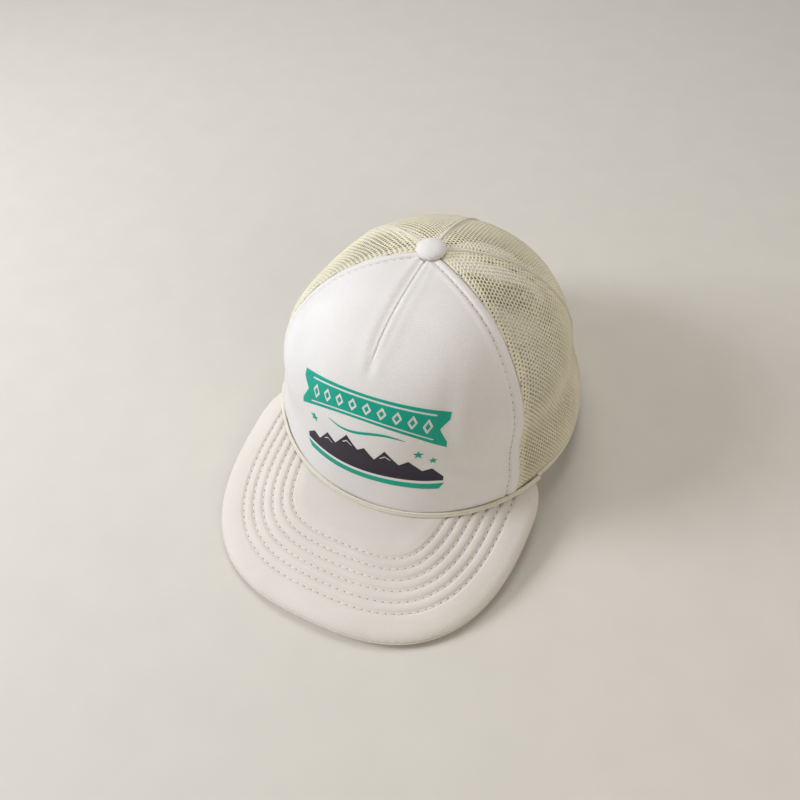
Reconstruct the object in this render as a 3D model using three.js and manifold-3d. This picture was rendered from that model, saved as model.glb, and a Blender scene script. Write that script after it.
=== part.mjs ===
// Five-panel trucker cap with a foam front, mesh sides and back, a padded
// visor and a snap strap. Millimetres, +Z up. The visor points to -Y and the
// wearer's left side is +X. The cap stands on its base edge and visor rim.
import * as THREE from 'three';
import { mergeVertices } from 'three/addons/utils/BufferGeometryUtils.js';
import Module from 'manifold-3d';

const wasm = await Module();
wasm.setup();

// ---------------------------------------------------------------- dimensions
const HALF_WIDTH = 89.3;          // crown half width at the base
const FRONT_RADIUS = 89.3;        // base reach from the centre to the front
const REAR_RADIUS = 110.2;        // base reach from the centre to the back
const CROWN_HEIGHT = 122.8;       // top of the panels under the button
const APEX_Y = 5.95;              // backward drift of the button
const N_FRONT = 3.61, N_SIDE = 2.105, N_REAR = 1.863;   // crown profile powers
const WAIST = 0.057;              // shallow dip low on the crown wall
const SEAM_FRONT = 56.62, SEAM_FRONT_GAIN = 7.63;       // front seam angle, deg
const SEAM_SIDE = 115;            // side to rear seam angle, deg
const VISOR_END = 65.58;          // where the visor leaves the crown, deg
const VISOR_Z = 19.19, VISOR_TILT = 9.483, VISOR_BEND = 8.29;
const VISOR_HALF = 88.12, VISOR_LENGTH = 95.63, VISOR_POWER = 2.594, VISOR_SHOULDER = -60.48;

const FACE_T = 0.8;               // front face cloth
const FOAM_T = 2.6;               // front foam
const MESH_T = 0.9;               // mesh net
const GAP = 0.3;                  // clearance between neighbouring pieces

const EDGE_R = 5;                 // rounding width along the visor rim
const BAND_H = 30;                // sweatband height
const HEM_H = 3.0, HEM_T = 1.6;   // base edge binding
const ARCH_HALF = 46, ARCH_TOP = 58, ARCH_POWER = 2.3;  // rear opening
const BEAD_W = 3.0, BEAD_T = 1.6; // binding of the rear opening
const STRAP_T = 1.6, STRAP_Z0 = 0.8, STRAP_Z1 = 18.8;   // snap strap
const STRAP_INNER_Y = 103.4, STRAP_OUTER_Y = 105.35;    // mid planes of the overlap
const HINGE_X = 22.4;             // where each strap starts to swing
const PEG_PITCH = 9.5, PEG_R = 1.9, HOLE_R = 2.6, PEG_COUNT = 4;
const BUTTON_R = 7.9, BUTTON_H = 4.6;
const ORIGIN_Y = 24.505;          // moves the middle of the length onto the origin

// ------------------------------------------------------------ shape functions
const rad = (d) => d * Math.PI / 180;
const clamp = (v, a, b) => Math.min(b, Math.max(a, v));
const smooth = (t) => { t = clamp(t, 0, 1); return t * t * (3 - 2 * t); };
const V = (x, y, z) => new THREE.Vector3(x, y, z);

function base(phi) {
  const c = Math.cos(rad(phi));
  return [HALF_WIDTH * Math.sin(rad(phi)), -(c > 0 ? FRONT_RADIUS : REAR_RADIUS) * c];
}
const visorTop = (x, y) => VISOR_Z + Math.tan(rad(VISOR_TILT)) * (y + FRONT_RADIUS) - VISOR_BEND * (x / 85) ** 2;
function baseZ(phi) {
  const a = Math.abs(phi);
  const [x, y] = base(Math.min(a, VISOR_END));
  const drop = 1 - smooth((a - VISOR_END) / (150 - VISOR_END));
  return visorTop(x, y) * drop * (1 - smooth((a - 125) / 13));
}
function power(phi) {
  const a = Math.abs(phi);
  const wf = Math.cos(rad(Math.min(a, 90))) ** 2;
  const wr = Math.cos(rad(Math.max(a, 90))) ** 2;
  return N_SIDE + (N_FRONT - N_SIDE) * wf + (N_REAR - N_SIDE) * wr;
}
// Point on the outer crown surface: u is 0 at the base edge and 1 at the top.
function crownU(phi, u) {
  const n = power(phi), a = rad(Math.abs(phi));
  const uc = clamp(u, 0, 1);
  const rho = Math.pow(Math.max(0, 1 - Math.pow(uc, n)), 1 / n)
    * (1 - WAIST * Math.exp(-(((u - 0.32) / 0.17) ** 2)) * (0.35 + 0.65 * Math.sin(a) ** 2));
  const [x, y] = base(phi);
  return V(x * rho, y * rho + APEX_Y * Math.pow(uc, 1.5), baseZ(phi) * (1 - u) + CROWN_HEIGHT * u);
}
function crownTheta(phi, th) {
  return crownU(phi, Math.pow(Math.sin(th), 2 / power(phi)));
}
// Even steps along the wall, from the base edge to a small ring at the top.
const tables = new Map();
function thetaAt(phi, t) {
  const key = Math.round(phi * 50) / 50;
  if (!tables.has(key)) {
    const end = Math.acos(Math.pow(0.048, power(key) / 2));
    const list = [[0, 0]];
    let len = 0, prev = crownTheta(key, 0);
    for (let i = 1; i <= 240; i++) {
      const th = end * (1 - (1 - i / 240) ** 1.6);
      const p = crownTheta(key, th);
      len += p.distanceTo(prev);
      prev = p;
      list.push([len, th]);
    }
    for (const r of list) r[0] /= len;
    tables.set(key, list);
  }
  const list = tables.get(key);
  let i = 1;
  while (i < list.length - 1 && list[i][0] < t) i++;
  const [l0, a0] = list[i - 1], [l1, a1] = list[i];
  return a0 + (a1 - a0) * (t - l0) / (l1 - l0 || 1);
}
const uOf = (phi, t) => Math.pow(Math.sin(thetaAt(phi, t)), 2 / power(phi));
// Outward normal of the crown at (phi, u).
function crownNormal(phi, u) {
  const e = 0.4, du = 0.004;
  const uu = clamp(u, 0.001, 0.9985);
  const a = crownU(phi + e, uu).sub(crownU(phi - e, uu));
  const b = crownU(phi, Math.min(uu + du, 0.9995)).sub(crownU(phi, uu - du));
  return a.cross(b).normalize();
}
function wall(phi, u, off) {
  const p = crownU(phi, u);
  return p.addScaledVector(crownNormal(phi, u), off);
}

// ------------------------------------------------------------------- builders
function closed(geometry) {
  const g = geometry.clone();
  for (const name of Object.keys(g.attributes)) if (name !== 'position') g.deleteAttribute(name);
  return mergeVertices(g, 1e-4);
}
// A box bent through map(s, t, w); s and t run over the face, w over the thickness.
function bent(ns, nt, map) {
  const g = closed(new THREE.BoxGeometry(1, 1, 1, ns, nt, 1));
  const p = g.attributes.position;
  for (let i = 0; i < p.count; i++) {
    const q = map(p.getX(i) + 0.5, p.getY(i) + 0.5, p.getZ(i) + 0.5);
    p.setXYZ(i, q.x, q.y, q.z);
  }
  return g;
}
function solid(geometry) {
  const g = closed(geometry);
  return new wasm.Manifold(new wasm.Mesh({
    numProp: 3,
    vertProperties: new Float32Array(g.attributes.position.array),
    triVerts: new Uint32Array(g.index.array),
  }));
}
function unsolid(m) {
  const mesh = m.getMesh();
  const g = new THREE.BufferGeometry();
  g.setAttribute('position', new THREE.BufferAttribute(new Float32Array(mesh.vertProperties), 3));
  g.setIndex(new THREE.BufferAttribute(new Uint32Array(mesh.triVerts), 1));
  return g;
}
const group = new THREE.Group();
const cap = new THREE.Group();
cap.position.set(0, ORIGIN_Y, 0);
group.add(cap);
function add(name, geometry, color, roughness = 0.85, metalness = 0) {
  geometry.computeVertexNormals();
  const mesh = new THREE.Mesh(geometry, new THREE.MeshStandardMaterial({ color, roughness, metalness }));
  mesh.name = name;
  cap.add(mesh);
  return mesh;
}

// ---------------------------------------------------------------- front panel
const seamFront = (u) => SEAM_FRONT + SEAM_FRONT_GAIN * u;
// Height of a wall piece above the base edge, as a share of the crown.
const liftU = (phi, mm) => mm / (CROWN_HEIGHT - baseZ(phi));
function panel(ns, nt, a0, a1, t0, t1, outer, inner, bottom) {
  return bent(ns, nt, (s, t, w) => {
    let u, phi = (a0(0.5) + a1(0.5)) / 2;
    const tt = t0 + (t1 - t0) * t;
    u = uOf(phi, tt);
    for (let k = 0; k < 3; k++) {
      phi = a0(u) + (a1(u) - a0(u)) * s;
      u = uOf(phi, tt);
    }
    const low = liftU(phi, bottom(phi));
    u = low + (1 - low) * u;
    return wall(phi, Math.min(u, 0.99999), inner + (outer - inner) * w);
  });
}
const mmToDeg = (mm, u) => {
  // angle that spans mm along the side wall at height u
  const r = Math.max(0.04, Math.pow(1 - Math.pow(clamp(u, 0, 0.99999), 2.3), 1 / 2.3));
  return Math.min(40, mm / (HALF_WIDTH * r) * 57.3);
};
const OVER_VISOR = 0.4;
const frontLift = () => OVER_VISOR;
add('front_panel_face', panel(16, 13,
  (u) => -seamFront(u) + mmToDeg(0.2, u), (u) => seamFront(u) - mmToDeg(0.2, u),
  0, 1, 0, -FACE_T, frontLift), 0xd9d4cf, 0.8);
add('front_panel_foam', panel(14, 11,
  (u) => -seamFront(u) + mmToDeg(6.5, u), (u) => seamFront(u) - mmToDeg(6.5, u),
  0.03, 0.93, -FACE_T - 0.9, -FACE_T - 0.9 - FOAM_T, frontLift), 0xe6e2d8, 0.95);

// ---------------------------------------------------------------- mesh panels
const meshLift = (phi) => {
  const a = Math.abs(phi);
  return OVER_VISOR + (HEM_H + GAP - OVER_VISOR) * clamp((a - VISOR_END + 6) / 3, 0, 1);
};
for (const [side, k] of [['left', 1], ['right', -1]]) {
  const a0 = (u) => seamFront(u) + mmToDeg(0.3, u);
  const a1 = (u) => SEAM_SIDE - mmToDeg(0.3, u);
  const lo = k > 0 ? a0 : (u) => -a1(u);
  const hi = k > 0 ? a1 : (u) => -a0(u);
  add(`side_mesh_${side}`, panel(9, 13, lo, hi, 0, 1, 0, -MESH_T, meshLift), 0xd2cba9, 0.6);
}
// Rear opening: an upright arch, cut through both rear panels.
function archOutline(half, top, n = 26) {
  const pts = [];
  for (let i = 0; i <= n; i++) {
    const a = Math.PI * i / n;
    const c = Math.cos(a), s = Math.sin(a);
    pts.push([half * Math.sign(c) * Math.pow(Math.abs(c), 2 / ARCH_POWER), top * Math.pow(Math.max(0, s), 2 / ARCH_POWER)]);
  }
  return pts;
}
const cutPts = archOutline(ARCH_HALF + BEAD_W / 2 + GAP, ARCH_TOP + BEAD_W / 2 + GAP);
const cutShape = new THREE.Shape();
cutShape.moveTo(cutPts[0][0], -10);
for (const [x, z] of cutPts) cutShape.lineTo(x, z);
cutShape.lineTo(cutPts[cutPts.length - 1][0], -10);
cutShape.closePath();
const cutGeo = new THREE.ExtrudeGeometry(cutShape, { depth: 90, bevelEnabled: false });
cutGeo.rotateX(Math.PI / 2);      // shape height becomes Z, depth runs to -Y
cutGeo.translate(0, 130, 0);
const archCut = solid(cutGeo);
for (const [side, k] of [['left', 1], ['right', -1]]) {
  const a0 = (u) => SEAM_SIDE + mmToDeg(0.3, u);
  const a1 = (u) => 180 - mmToDeg(0.3, u);
  const lo = k > 0 ? a0 : (u) => -a1(u);
  const hi = k > 0 ? a1 : (u) => -a0(u);
  const g = panel(10, 14, lo, hi, 0, 1, 0, -MESH_T, meshLift);
  add(`rear_mesh_${side}`, unsolid(solid(g).subtract(archCut)), 0xd2cba9, 0.6);
}

// ---------------------------------------------------------------------- visor
function visorOutline() {
  const pts = [];
  const [cx, cy] = base(VISOR_END);
  for (let i = 0; i < 12; i++) {
    const t = i / 12, bx = VISOR_HALF, by = 0.35 * VISOR_SHOULDER + 0.65 * cy;
    pts.push([(1 - t) ** 2 * cx + 2 * t * (1 - t) * bx + t * t * VISOR_HALF,
      (1 - t) ** 2 * cy + 2 * t * (1 - t) * by + t * t * VISOR_SHOULDER]);
  }
  for (let i = 0; i <= 60; i++) {
    const a = Math.PI / 2 * i / 60;
    pts.push([VISOR_HALF * Math.pow(Math.max(0, Math.cos(a)), 2 / VISOR_POWER),
      VISOR_SHOULDER - VISOR_LENGTH * Math.pow(Math.sin(a), 2 / VISOR_POWER)]);
  }
  const right = pts.slice(0, -1).map(([x, y]) => [-x, y]);
  return right.concat(pts.reverse());   // from -X round the front to +X
}
function resample(pts, n) {
  const len = [0];
  for (let i = 1; i < pts.length; i++) len.push(len[i - 1] + Math.hypot(pts[i][0] - pts[i - 1][0], pts[i][1] - pts[i - 1][1]));
  const out = [];
  for (let k = 0; k <= n; k++) {
    const l = len[len.length - 1] * k / n;
    let i = 1;
    while (i < len.length - 1 && len[i] < l) i++;
    const t = (l - len[i - 1]) / (len[i] - len[i - 1] || 1);
    out.push([pts[i - 1][0] + (pts[i][0] - pts[i - 1][0]) * t, pts[i - 1][1] + (pts[i][1] - pts[i - 1][1]) * t]);
  }
  return out;
}
const OUTLINE = resample(visorOutline(), 400);
const INNER = (() => {
  const pts = [];
  for (let i = 0; i <= 200; i++) pts.push(base(-VISOR_END + 2 * VISOR_END * i / 200));
  return resample(pts, 400);
})();
function at(list, s) {
  const f = clamp(s, 0, 1) * (list.length - 1);
  const i = Math.min(list.length - 2, Math.floor(f));
  const t = f - i;
  return [list[i][0] + (list[i + 1][0] - list[i][0]) * t, list[i][1] + (list[i + 1][1] - list[i][1]) * t];
}
function inward(s) {
  const a = at(OUTLINE, s - 0.006), b = at(OUTLINE, s + 0.006);
  const dx = b[0] - a[0], dy = b[1] - a[1], l = Math.hypot(dx, dy);
  return [-dy / l, dx / l];
}
function rimDistance(x, y) {
  let best = 1e9;
  for (const [a, b] of OUTLINE) best = Math.min(best, Math.hypot(a - x, b - y));
  return best;
}
// Layers are measured down from the top surface; inset is kept from the rim.
function visorLayer(ns, nt, s0, s1, inset, top, bottom, drop, rise) {
  return bent(ns, nt, (s, t, w) => {
    // s runs from -X to +X, t from the rim to the crown
    const ss = s0 + (s1 - s0) * s;
    const o = at(OUTLINE, ss), n = inward(ss), i = at(INNER, ss);
    const ox = o[0] + n[0] * inset, oy = o[1] + n[1] * inset;
    const k = 1 - 2.5 / HALF_WIDTH;
    const reach = Math.hypot(i[0] * k - ox, i[1] * k - oy);
    const row = Math.round(t * nt);
    // the first rows lie close to the rim, so that its rounding stays narrow
    const f1 = inset ? 1 / nt : Math.min(0.2, 1.5 / reach), f2 = inset ? 2 / nt : Math.min(0.5, 6 / reach);
    const tt = row === 0 ? 0 : row === 1 ? f1 : f2 + (1 - f2) * (row - 2) / (nt - 2);
    const x = ox + (i[0] * k - ox) * tt, y = oy + (i[1] * k - oy) * tt;
    const d = inset + (t === 0 ? 0 : Math.max(0, rimDistance(x, y) - inset));
    const r = d < EDGE_R ? 1 - Math.sqrt(Math.max(0, 1 - (1 - d / EDGE_R) ** 2)) : 0;
    const z = w > 0.5 ? top : bottom;
    return V(x, y, visorTop(x, y) + z - drop * r + rise * r);
  });
}
const cover = FACE_T, foamT = 2.6, boardT = 2.2;
const zFoam = -cover - GAP, zBoard = zFoam - foamT - GAP, zUnder = zBoard - boardT - GAP;
// t has a tight first step so that the rim stays round
add('visor_top_cover', visorLayer(30, 8, 0.02, 0.98, 0, 0, -cover, 2.45, 0), 0xd3ccc3, 0.8);
add('visor_foam', visorLayer(24, 5, 0.05, 0.95, 5.5, zFoam, zFoam - foamT, 0, 0), 0xe8e4da, 0.95);
add('visor_board', visorLayer(24, 5, 0.05, 0.95, 4.5, zBoard, zBoard - boardT, 0, 0), 0xeeeeea, 0.5);
add('visor_under_cover', visorLayer(30, 8, 0.02, 0.98, 0, zUnder, zUnder - cover, 0, 1.95), 0xcdc6bb, 0.85);

// Piping laid along the foot of the crown where the visor is sewn on.
function sweep(n, pathPoint, e1, e2, a, b) {
  return bent(n, 1, (s, t, w) => pathPoint(s)
    .addScaledVector(e1(s), (t - 0.5) * a)
    .addScaledVector(e2(s), (w - 0.5) * b));
}
add('visor_seam_piping', (() => {
  const shape = new THREE.Shape();
  for (let i = 0; i < 8; i++) {
    const a = 2 * Math.PI * (i + 0.5) / 8;
    if (i === 0) shape.moveTo(Math.cos(a), Math.sin(a));
    else shape.lineTo(Math.cos(a), Math.sin(a));
  }
  shape.closePath();
  const pts = [];
  for (let i = 0; i <= 40; i++) {
    const phi = -(VISOR_END - 1.5) + 2 * (VISOR_END - 1.5) * i / 40;
    const [x, y] = base(phi);
    const l = Math.hypot(x / HALF_WIDTH ** 2, y / FRONT_RADIUS ** 2);
    const nx = x / HALF_WIDTH ** 2 / l, ny = y / FRONT_RADIUS ** 2 / l;
    const px = x + nx * 1.35, py = y + ny * 1.35;
    pts.push(V(px, py, visorTop(px, py) + 1.4));
  }
  return closed(new THREE.ExtrudeGeometry(shape, {
    steps: 40, bevelEnabled: false, extrudePath: new THREE.CatmullRomCurve3(pts),
  }));
})(), 0xd0c4ae, 0.75);

// ------------------------------------------------------------ inside the crown
const BAND_END = 147;
add('sweatband', bent(44, 2, (s, t, w) => {
  const phi = -BAND_END + 2 * BAND_END * s;
  const z0 = Math.max(0.9, baseZ(phi) - 4);
  const z = z0 + BAND_H * t;
  const u = (z - baseZ(phi)) / (CROWN_HEIGHT - baseZ(phi));
  const p = crownU(phi, u), n = crownNormal(phi, Math.max(0.01, u));
  n.z = 0; n.normalize();
  return V(p.x, p.y, z).addScaledVector(n, -6.2 + 1.4 * w);
}), 0xcfc8ba, 0.9);

function tape(name, angle, t0, t1, depth) {
  add(name, bent(2, 11, (s, t, w) => {
    const tt = t0 + (t1 - t0) * t;
    let u = uOf(angle(0.5), tt);
    for (let k = 0; k < 3; k++) u = uOf(angle(u), tt);
    const phi = angle(u) + mmToDeg(4.5, u) * (2 * s - 1);
    return wall(phi, u, depth - 0.5 + 0.5 * w);
  }), 0xd6d0c2, 0.9);
}
const sf = seamFront;
tape('seam_tape_front_left', (u) => sf(u), 0.05, 0.90, -1.45);
tape('seam_tape_front_right', (u) => -sf(u), 0.05, 0.90, -1.45);
tape('seam_tape_rear_left', () => SEAM_SIDE, 0.05, 0.90, -1.45);
tape('seam_tape_rear_right', () => -SEAM_SIDE, 0.05, 0.90, -1.45);
tape('seam_tape_center_back', () => 180, 0.44, 0.90, -1.45);

// Blank care tab sewn into the top of the band.
add('care_label', bent(3, 1, (s, t, w) => {
  const phi = 126 + 8 * s, z = 18 + 20 * t;
  const u = (z - baseZ(phi)) / (CROWN_HEIGHT - baseZ(phi));
  const n = crownNormal(phi, u);
  n.z = 0; n.normalize();
  const p = crownU(phi, u);
  return V(p.x, p.y, z).addScaledVector(n, -7.0 + 0.4 * w);
}), 0xe6e2d6, 0.9);

// ---------------------------------------------------------------- base binding
for (const [side, k] of [['left', 1], ['right', -1]]) {
  add(`base_binding_${side}`, bent(24, 1, (s, t, w) => {
    const a0 = VISOR_END + 3.2, a1 = 147.2;
    const phi = k > 0 ? a0 + (a1 - a0) * s : -a1 + (a1 - a0) * s;
    const z = baseZ(phi) + HEM_H * t;
    const p = crownU(phi, 0), n = crownNormal(phi, 0.01);
    n.z = 0; n.normalize();
    return V(p.x, p.y, z).addScaledVector(n, -1.0 + HEM_T * w);
  }), 0xcfc7ae, 0.8);
}

// ---------------------------------------------------- rear opening and binding
function rearWall(x, z) {
  const u = clamp(z / CROWN_HEIGHT, 0, 0.999);
  let phi = 170;
  for (let k = 0; k < 12; k++) {
    const rho = crownU(phi, u).x / (HALF_WIDTH * Math.sin(rad(phi)) || 1);
    phi = 180 - Math.asin(clamp(Math.abs(x) / (HALF_WIDTH * rho), 0, 1)) / Math.PI * 180;
    if (Math.abs(x) < 1e-6) phi = 180;
  }
  return [x >= 0 ? phi : -phi, u];
}
{
  const pts = archOutline(ARCH_HALF, ARCH_TOP, 36).map(([x, z]) => [x, Math.max(z, 0.5)]);
  const at3 = (s) => {
    const [x, z] = at(pts, s);
    const [phi, u] = rearWall(x, z);
    const n = crownNormal(phi, Math.max(u, 0.01));
    return [V(0, 0, 0).copy(wall(phi, u, -0.2)), n];
  };
  const tangent = (s) => at3(s + 0.01)[0].sub(at3(s - 0.01)[0]).normalize();
  add('rear_opening_binding', sweep(36, (s) => at3(s)[0],
    (s) => at3(s)[1].clone().cross(tangent(s)).normalize(),
    (s) => at3(s)[1], BEAD_W, BEAD_T), 0xcfc7ae, 0.8);
}

// ----------------------------------------------------------------- snap straps
// Plan path of the sewn part, from inside the crown wall to the swing line.
function strapPath(y) {
  const pts = [];
  for (const phi of [137, 141, 145, 149]) {
    const [x0, y0] = base(phi);
    const l = Math.hypot(x0 / HALF_WIDTH ** 2, y0 / REAR_RADIUS ** 2);
    pts.push([x0 - x0 / HALF_WIDTH ** 2 / l * 2.3, y0 - y0 / REAR_RADIUS ** 2 / l * 2.3]);
  }
  const p1 = pts[3], p0 = pts[2];
  const dx = p1[0] - p0[0], dy = p1[1] - p0[1];
  const k = (y - p1[1]) / dy;
  const cx = Math.max(p1[0] + dx * k, HINGE_X + 3), ex = HINGE_X + STRAP_T / 2 + 0.4;
  for (let i = 1; i <= 8; i++) {
    const t = i / 8;
    pts.push([(1 - t) ** 2 * p1[0] + 2 * t * (1 - t) * cx + t * t * ex,
      (1 - t) ** 2 * p1[1] + 2 * t * (1 - t) * y + t * t * y]);
  }
  return resample(pts, 60);
}
function strapFixed(y, k) {
  const path = strapPath(y);
  return bent(12, 1, (s, t, w) => {
    // s keeps the face turned outward on both sides
    const q = k > 0 ? s : 1 - s;
    const p = at(path, q);
    const a = at(path, q - 0.01), b = at(path, q + 0.01);
    const dx = b[0] - a[0], dy = b[1] - a[1], l = Math.hypot(dx, dy);
    const nx = dy / l, ny = -dx / l;     // outward, for the +X side
    const z = STRAP_Z0 + (STRAP_Z1 - STRAP_Z0) * t;
    // the sewn end leans in with the wall, the free run stands upright
    const phi = 180 - Math.asin(Math.min(1, p[0] / HALF_WIDTH)) / Math.PI * 180;
    const b0 = base(phi), c = crownU(phi, z / CROWN_HEIGHT);
    const lean = smooth((p[0] - HINGE_X - 3) / 20) * ((b0[0] - c.x) * nx + (b0[1] - c.y) * ny);
    const o = (w - 0.5) * STRAP_T - lean;
    return V(k * (p[0] + nx * o), p[1] + ny * o, z);
  });
}
// The swinging part: flat, with a round heel on the swing line at x = k * HINGE_X.
function strapFree(y, k) {
  const len = 2 * HINGE_X - 1.1, h = (STRAP_Z1 - STRAP_Z0), r = STRAP_T / 2;
  const plan = new THREE.Shape();
  plan.absarc(0, 0, r, -Math.PI / 2, Math.PI / 2, false);
  plan.lineTo(-len, r);
  plan.lineTo(-len, -r);
  plan.closePath();
  const g = new THREE.ExtrudeGeometry(plan, { depth: h, bevelEnabled: false, curveSegments: 6 });
  g.translate(0, 0, STRAP_Z0);
  let body = solid(g);
  // rounded tip, cut by an upright outline
  const tip = new THREE.Shape();
  const zc = (STRAP_Z0 + STRAP_Z1) / 2, hr = h / 2;
  tip.moveTo(2, -hr - 1);
  tip.lineTo(2, hr + 1);
  tip.lineTo(-len + hr * 0.7, hr + 1);
  tip.lineTo(-len + hr * 0.7, hr);
  for (let i = 1; i < 10; i++) {
    const a = Math.PI / 2 + Math.PI * i / 10;
    tip.lineTo(-len + hr * 0.7 + hr * 0.7 * Math.cos(a), hr * Math.sin(a));
  }
  tip.lineTo(-len + hr * 0.7, -hr);
  tip.lineTo(-len + hr * 0.7, -hr - 1);
  tip.closePath();
  const tg = new THREE.ExtrudeGeometry(tip, { depth: 12, bevelEnabled: false });
  tg.rotateX(Math.PI / 2);
  tg.translate(0, 6, zc);
  body = body.intersect(solid(tg));
  return { body, zc, y, k, len };
}
const pegX = [];
for (let i = 0; i < PEG_COUNT; i++) pegX.push((i - (PEG_COUNT - 1) / 2) * PEG_PITCH);
function round(r, length, n) {
  const c = new THREE.CylinderGeometry(r, r, length, n);
  return c;                                 // axis along Y
}
function placeStrap(name, part, color) {
  const g = unsolid(part.body);
  if (part.k < 0) g.scale(-1, 1, 1), g.setIndex(new THREE.BufferAttribute(new Uint32Array(g.index.array).map((v, i, a) => a[i % 3 === 1 ? i + 1 : i % 3 === 2 ? i - 1 : i]), 1));
  g.translate(part.k * HINGE_X, part.y, 0);
  add(name, g, color, 0.45);
}
add('strap_holed_fixed', strapFixed(STRAP_OUTER_Y, 1), 0xd9d3bd, 0.45);
add('strap_pegged_fixed', strapFixed(STRAP_INNER_Y, -1), 0xd9d3bd, 0.45);
{
  const holed = strapFree(STRAP_OUTER_Y, 1);
  for (const x of pegX) {
    const c = round(HOLE_R, 8, 16);
    c.translate(x - HINGE_X, 0, holed.zc);
    holed.body = holed.body.subtract(solid(c));
  }
  placeStrap('strap_holed_free', holed, 0xd9d3bd);
  const pegged = strapFree(STRAP_INNER_Y, -1);
  for (const x of pegX) {
    const c = round(PEG_R, 4.0, 12);
    c.translate(-x - HINGE_X, 4.0 / 2 - 0.3, pegged.zc);
    pegged.body = pegged.body.add(solid(c));
  }
  placeStrap('strap_pegged_free', pegged, 0xd9d3bd);
}

// --------------------------------------------------------------- crown button
function lathe(profile, n, y, z) {
  const g = new THREE.LatheGeometry(profile.map(([r, h]) => new THREE.Vector2(r, h)), n);
  g.rotateX(Math.PI / 2);
  g.translate(0, y, z);
  return closed(g);
}
const BZ = CROWN_HEIGHT + 0.4;
const dome = (r, h, n = 6) => {
  const out = [];
  for (let i = 0; i <= n; i++) {
    const a = Math.PI / 2 * i / n;
    out.push([r * Math.cos(a), h * Math.sin(a)]);
  }
  out[n][0] = 0;
  return out;
};
{
  const outer = dome(BUTTON_R, BUTTON_H - 0.8).map(([r, h]) => [r, h + 0.8]);
  const inner = dome(BUTTON_R - 0.7, BUTTON_H - 0.8 - 0.7).map(([r, h]) => [r, h + 0.8]).reverse();
  add('button_cover', lathe([...inner, [BUTTON_R - 0.7, 0], [BUTTON_R, 0], ...outer], 20, APEX_Y, BZ), 0xd7d2ca, 0.8);
  const shellOut = dome(BUTTON_R - 1.0, BUTTON_H - 0.8 - 1.0).map(([r, h]) => [r, h + 0.8]);
  add('button_shell', lathe([[0, 1.6], [3.0, 1.6], [BUTTON_R - 2.2, 0.05], [BUTTON_R - 1.0, 0.05], ...shellOut], 20, APEX_Y, BZ), 0xb8b8b6, 0.35, 1);
  add('button_prong', lathe([[0, -6.2], [1.2, -6.2], [1.6, -5.4], [1.6, 1.3], [0, 1.3]], 12, APEX_Y, BZ), 0xb8b8b6, 0.35, 1);
  add('button_washer', lathe([[2.0, -5.0], [6.2, -5.0], [6.6, -4.6], [6.6, -4.0], [6.2, -3.7], [2.0, -3.7], [2.0, -5.0]], 16, APEX_Y, BZ), 0xb8b8b6, 0.35, 1);
}

export default group;
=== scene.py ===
import math
import bpy
import numpy as np
from mathutils import Matrix, Vector


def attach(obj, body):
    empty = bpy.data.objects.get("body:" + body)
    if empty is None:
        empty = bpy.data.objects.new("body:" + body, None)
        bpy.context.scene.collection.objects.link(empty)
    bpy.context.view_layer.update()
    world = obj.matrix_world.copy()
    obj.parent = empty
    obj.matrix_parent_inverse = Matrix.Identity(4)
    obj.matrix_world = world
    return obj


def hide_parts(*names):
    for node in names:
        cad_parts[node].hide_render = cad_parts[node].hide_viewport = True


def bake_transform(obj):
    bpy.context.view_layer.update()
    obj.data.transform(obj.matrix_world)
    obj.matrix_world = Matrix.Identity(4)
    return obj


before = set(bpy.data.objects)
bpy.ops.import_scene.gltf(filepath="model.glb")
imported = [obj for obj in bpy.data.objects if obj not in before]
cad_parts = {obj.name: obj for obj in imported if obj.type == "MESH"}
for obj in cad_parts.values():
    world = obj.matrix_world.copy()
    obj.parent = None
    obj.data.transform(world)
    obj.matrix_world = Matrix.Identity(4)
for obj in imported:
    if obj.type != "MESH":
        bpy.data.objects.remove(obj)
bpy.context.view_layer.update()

# ------------------------------------------------------------- shape of the cap
# Millimetres, crown centre at the origin; OY moves it into the row frame.
B, AF, AR, H, YT = 89.3, 89.3, 110.2, 122.8, 5.95
NF, NS, NR = 3.61, 2.105, 1.863
WST = 0.057
PS0, PS1, SS, PV = 56.62, 7.63, 115.0, 65.58
Z0, TAU, KB = 19.19, 9.483, 8.29
WV, LV, PW, YV = 88.12, 95.63, 2.594, -60.48
OY = 24.505
rad = np.radians


def sm(t):
    t = np.clip(t, 0, 1)
    return t * t * (3 - 2 * t)


def wrap(phi):
    return np.abs((np.asarray(phi, float) + 180) % 360 - 180)


def base(phi):
    c = np.cos(rad(phi))
    return B * np.sin(rad(phi)), -np.where(c > 0, AF, AR) * c


def vtop(x, y):
    return Z0 + math.tan(math.radians(TAU)) * (y + AF) - KB * (x / 85) ** 2


def zbase(phi):
    a = wrap(phi)
    x, y = base(np.minimum(a, PV))
    return vtop(x, y) * (1 - sm((a - PV) / (150 - PV))) * (1 - sm((a - 125) / 13))


def npow(phi):
    a = wrap(phi)
    wf = np.cos(rad(np.minimum(a, 90))) ** 2
    wr = np.cos(rad(np.maximum(a, 90))) ** 2
    return NS + (NF - NS) * wf + (NR - NS) * wr


def crown(phi, u):
    phi, u = np.broadcast_arrays(np.asarray(phi, float), np.asarray(u, float))
    n, a = npow(phi), rad(wrap(phi))
    uc = np.clip(u, 0, 1)
    rho = np.maximum(0, 1 - uc ** n) ** (1 / n) * (1 - WST * np.exp(-((u - 0.32) / 0.17) ** 2) * (0.35 + 0.65 * np.sin(a) ** 2))
    x, y = base(phi)
    return np.stack([x * rho, y * rho + YT * uc ** 1.5, zbase(phi) * (1 - u) + H * u], -1)


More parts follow.
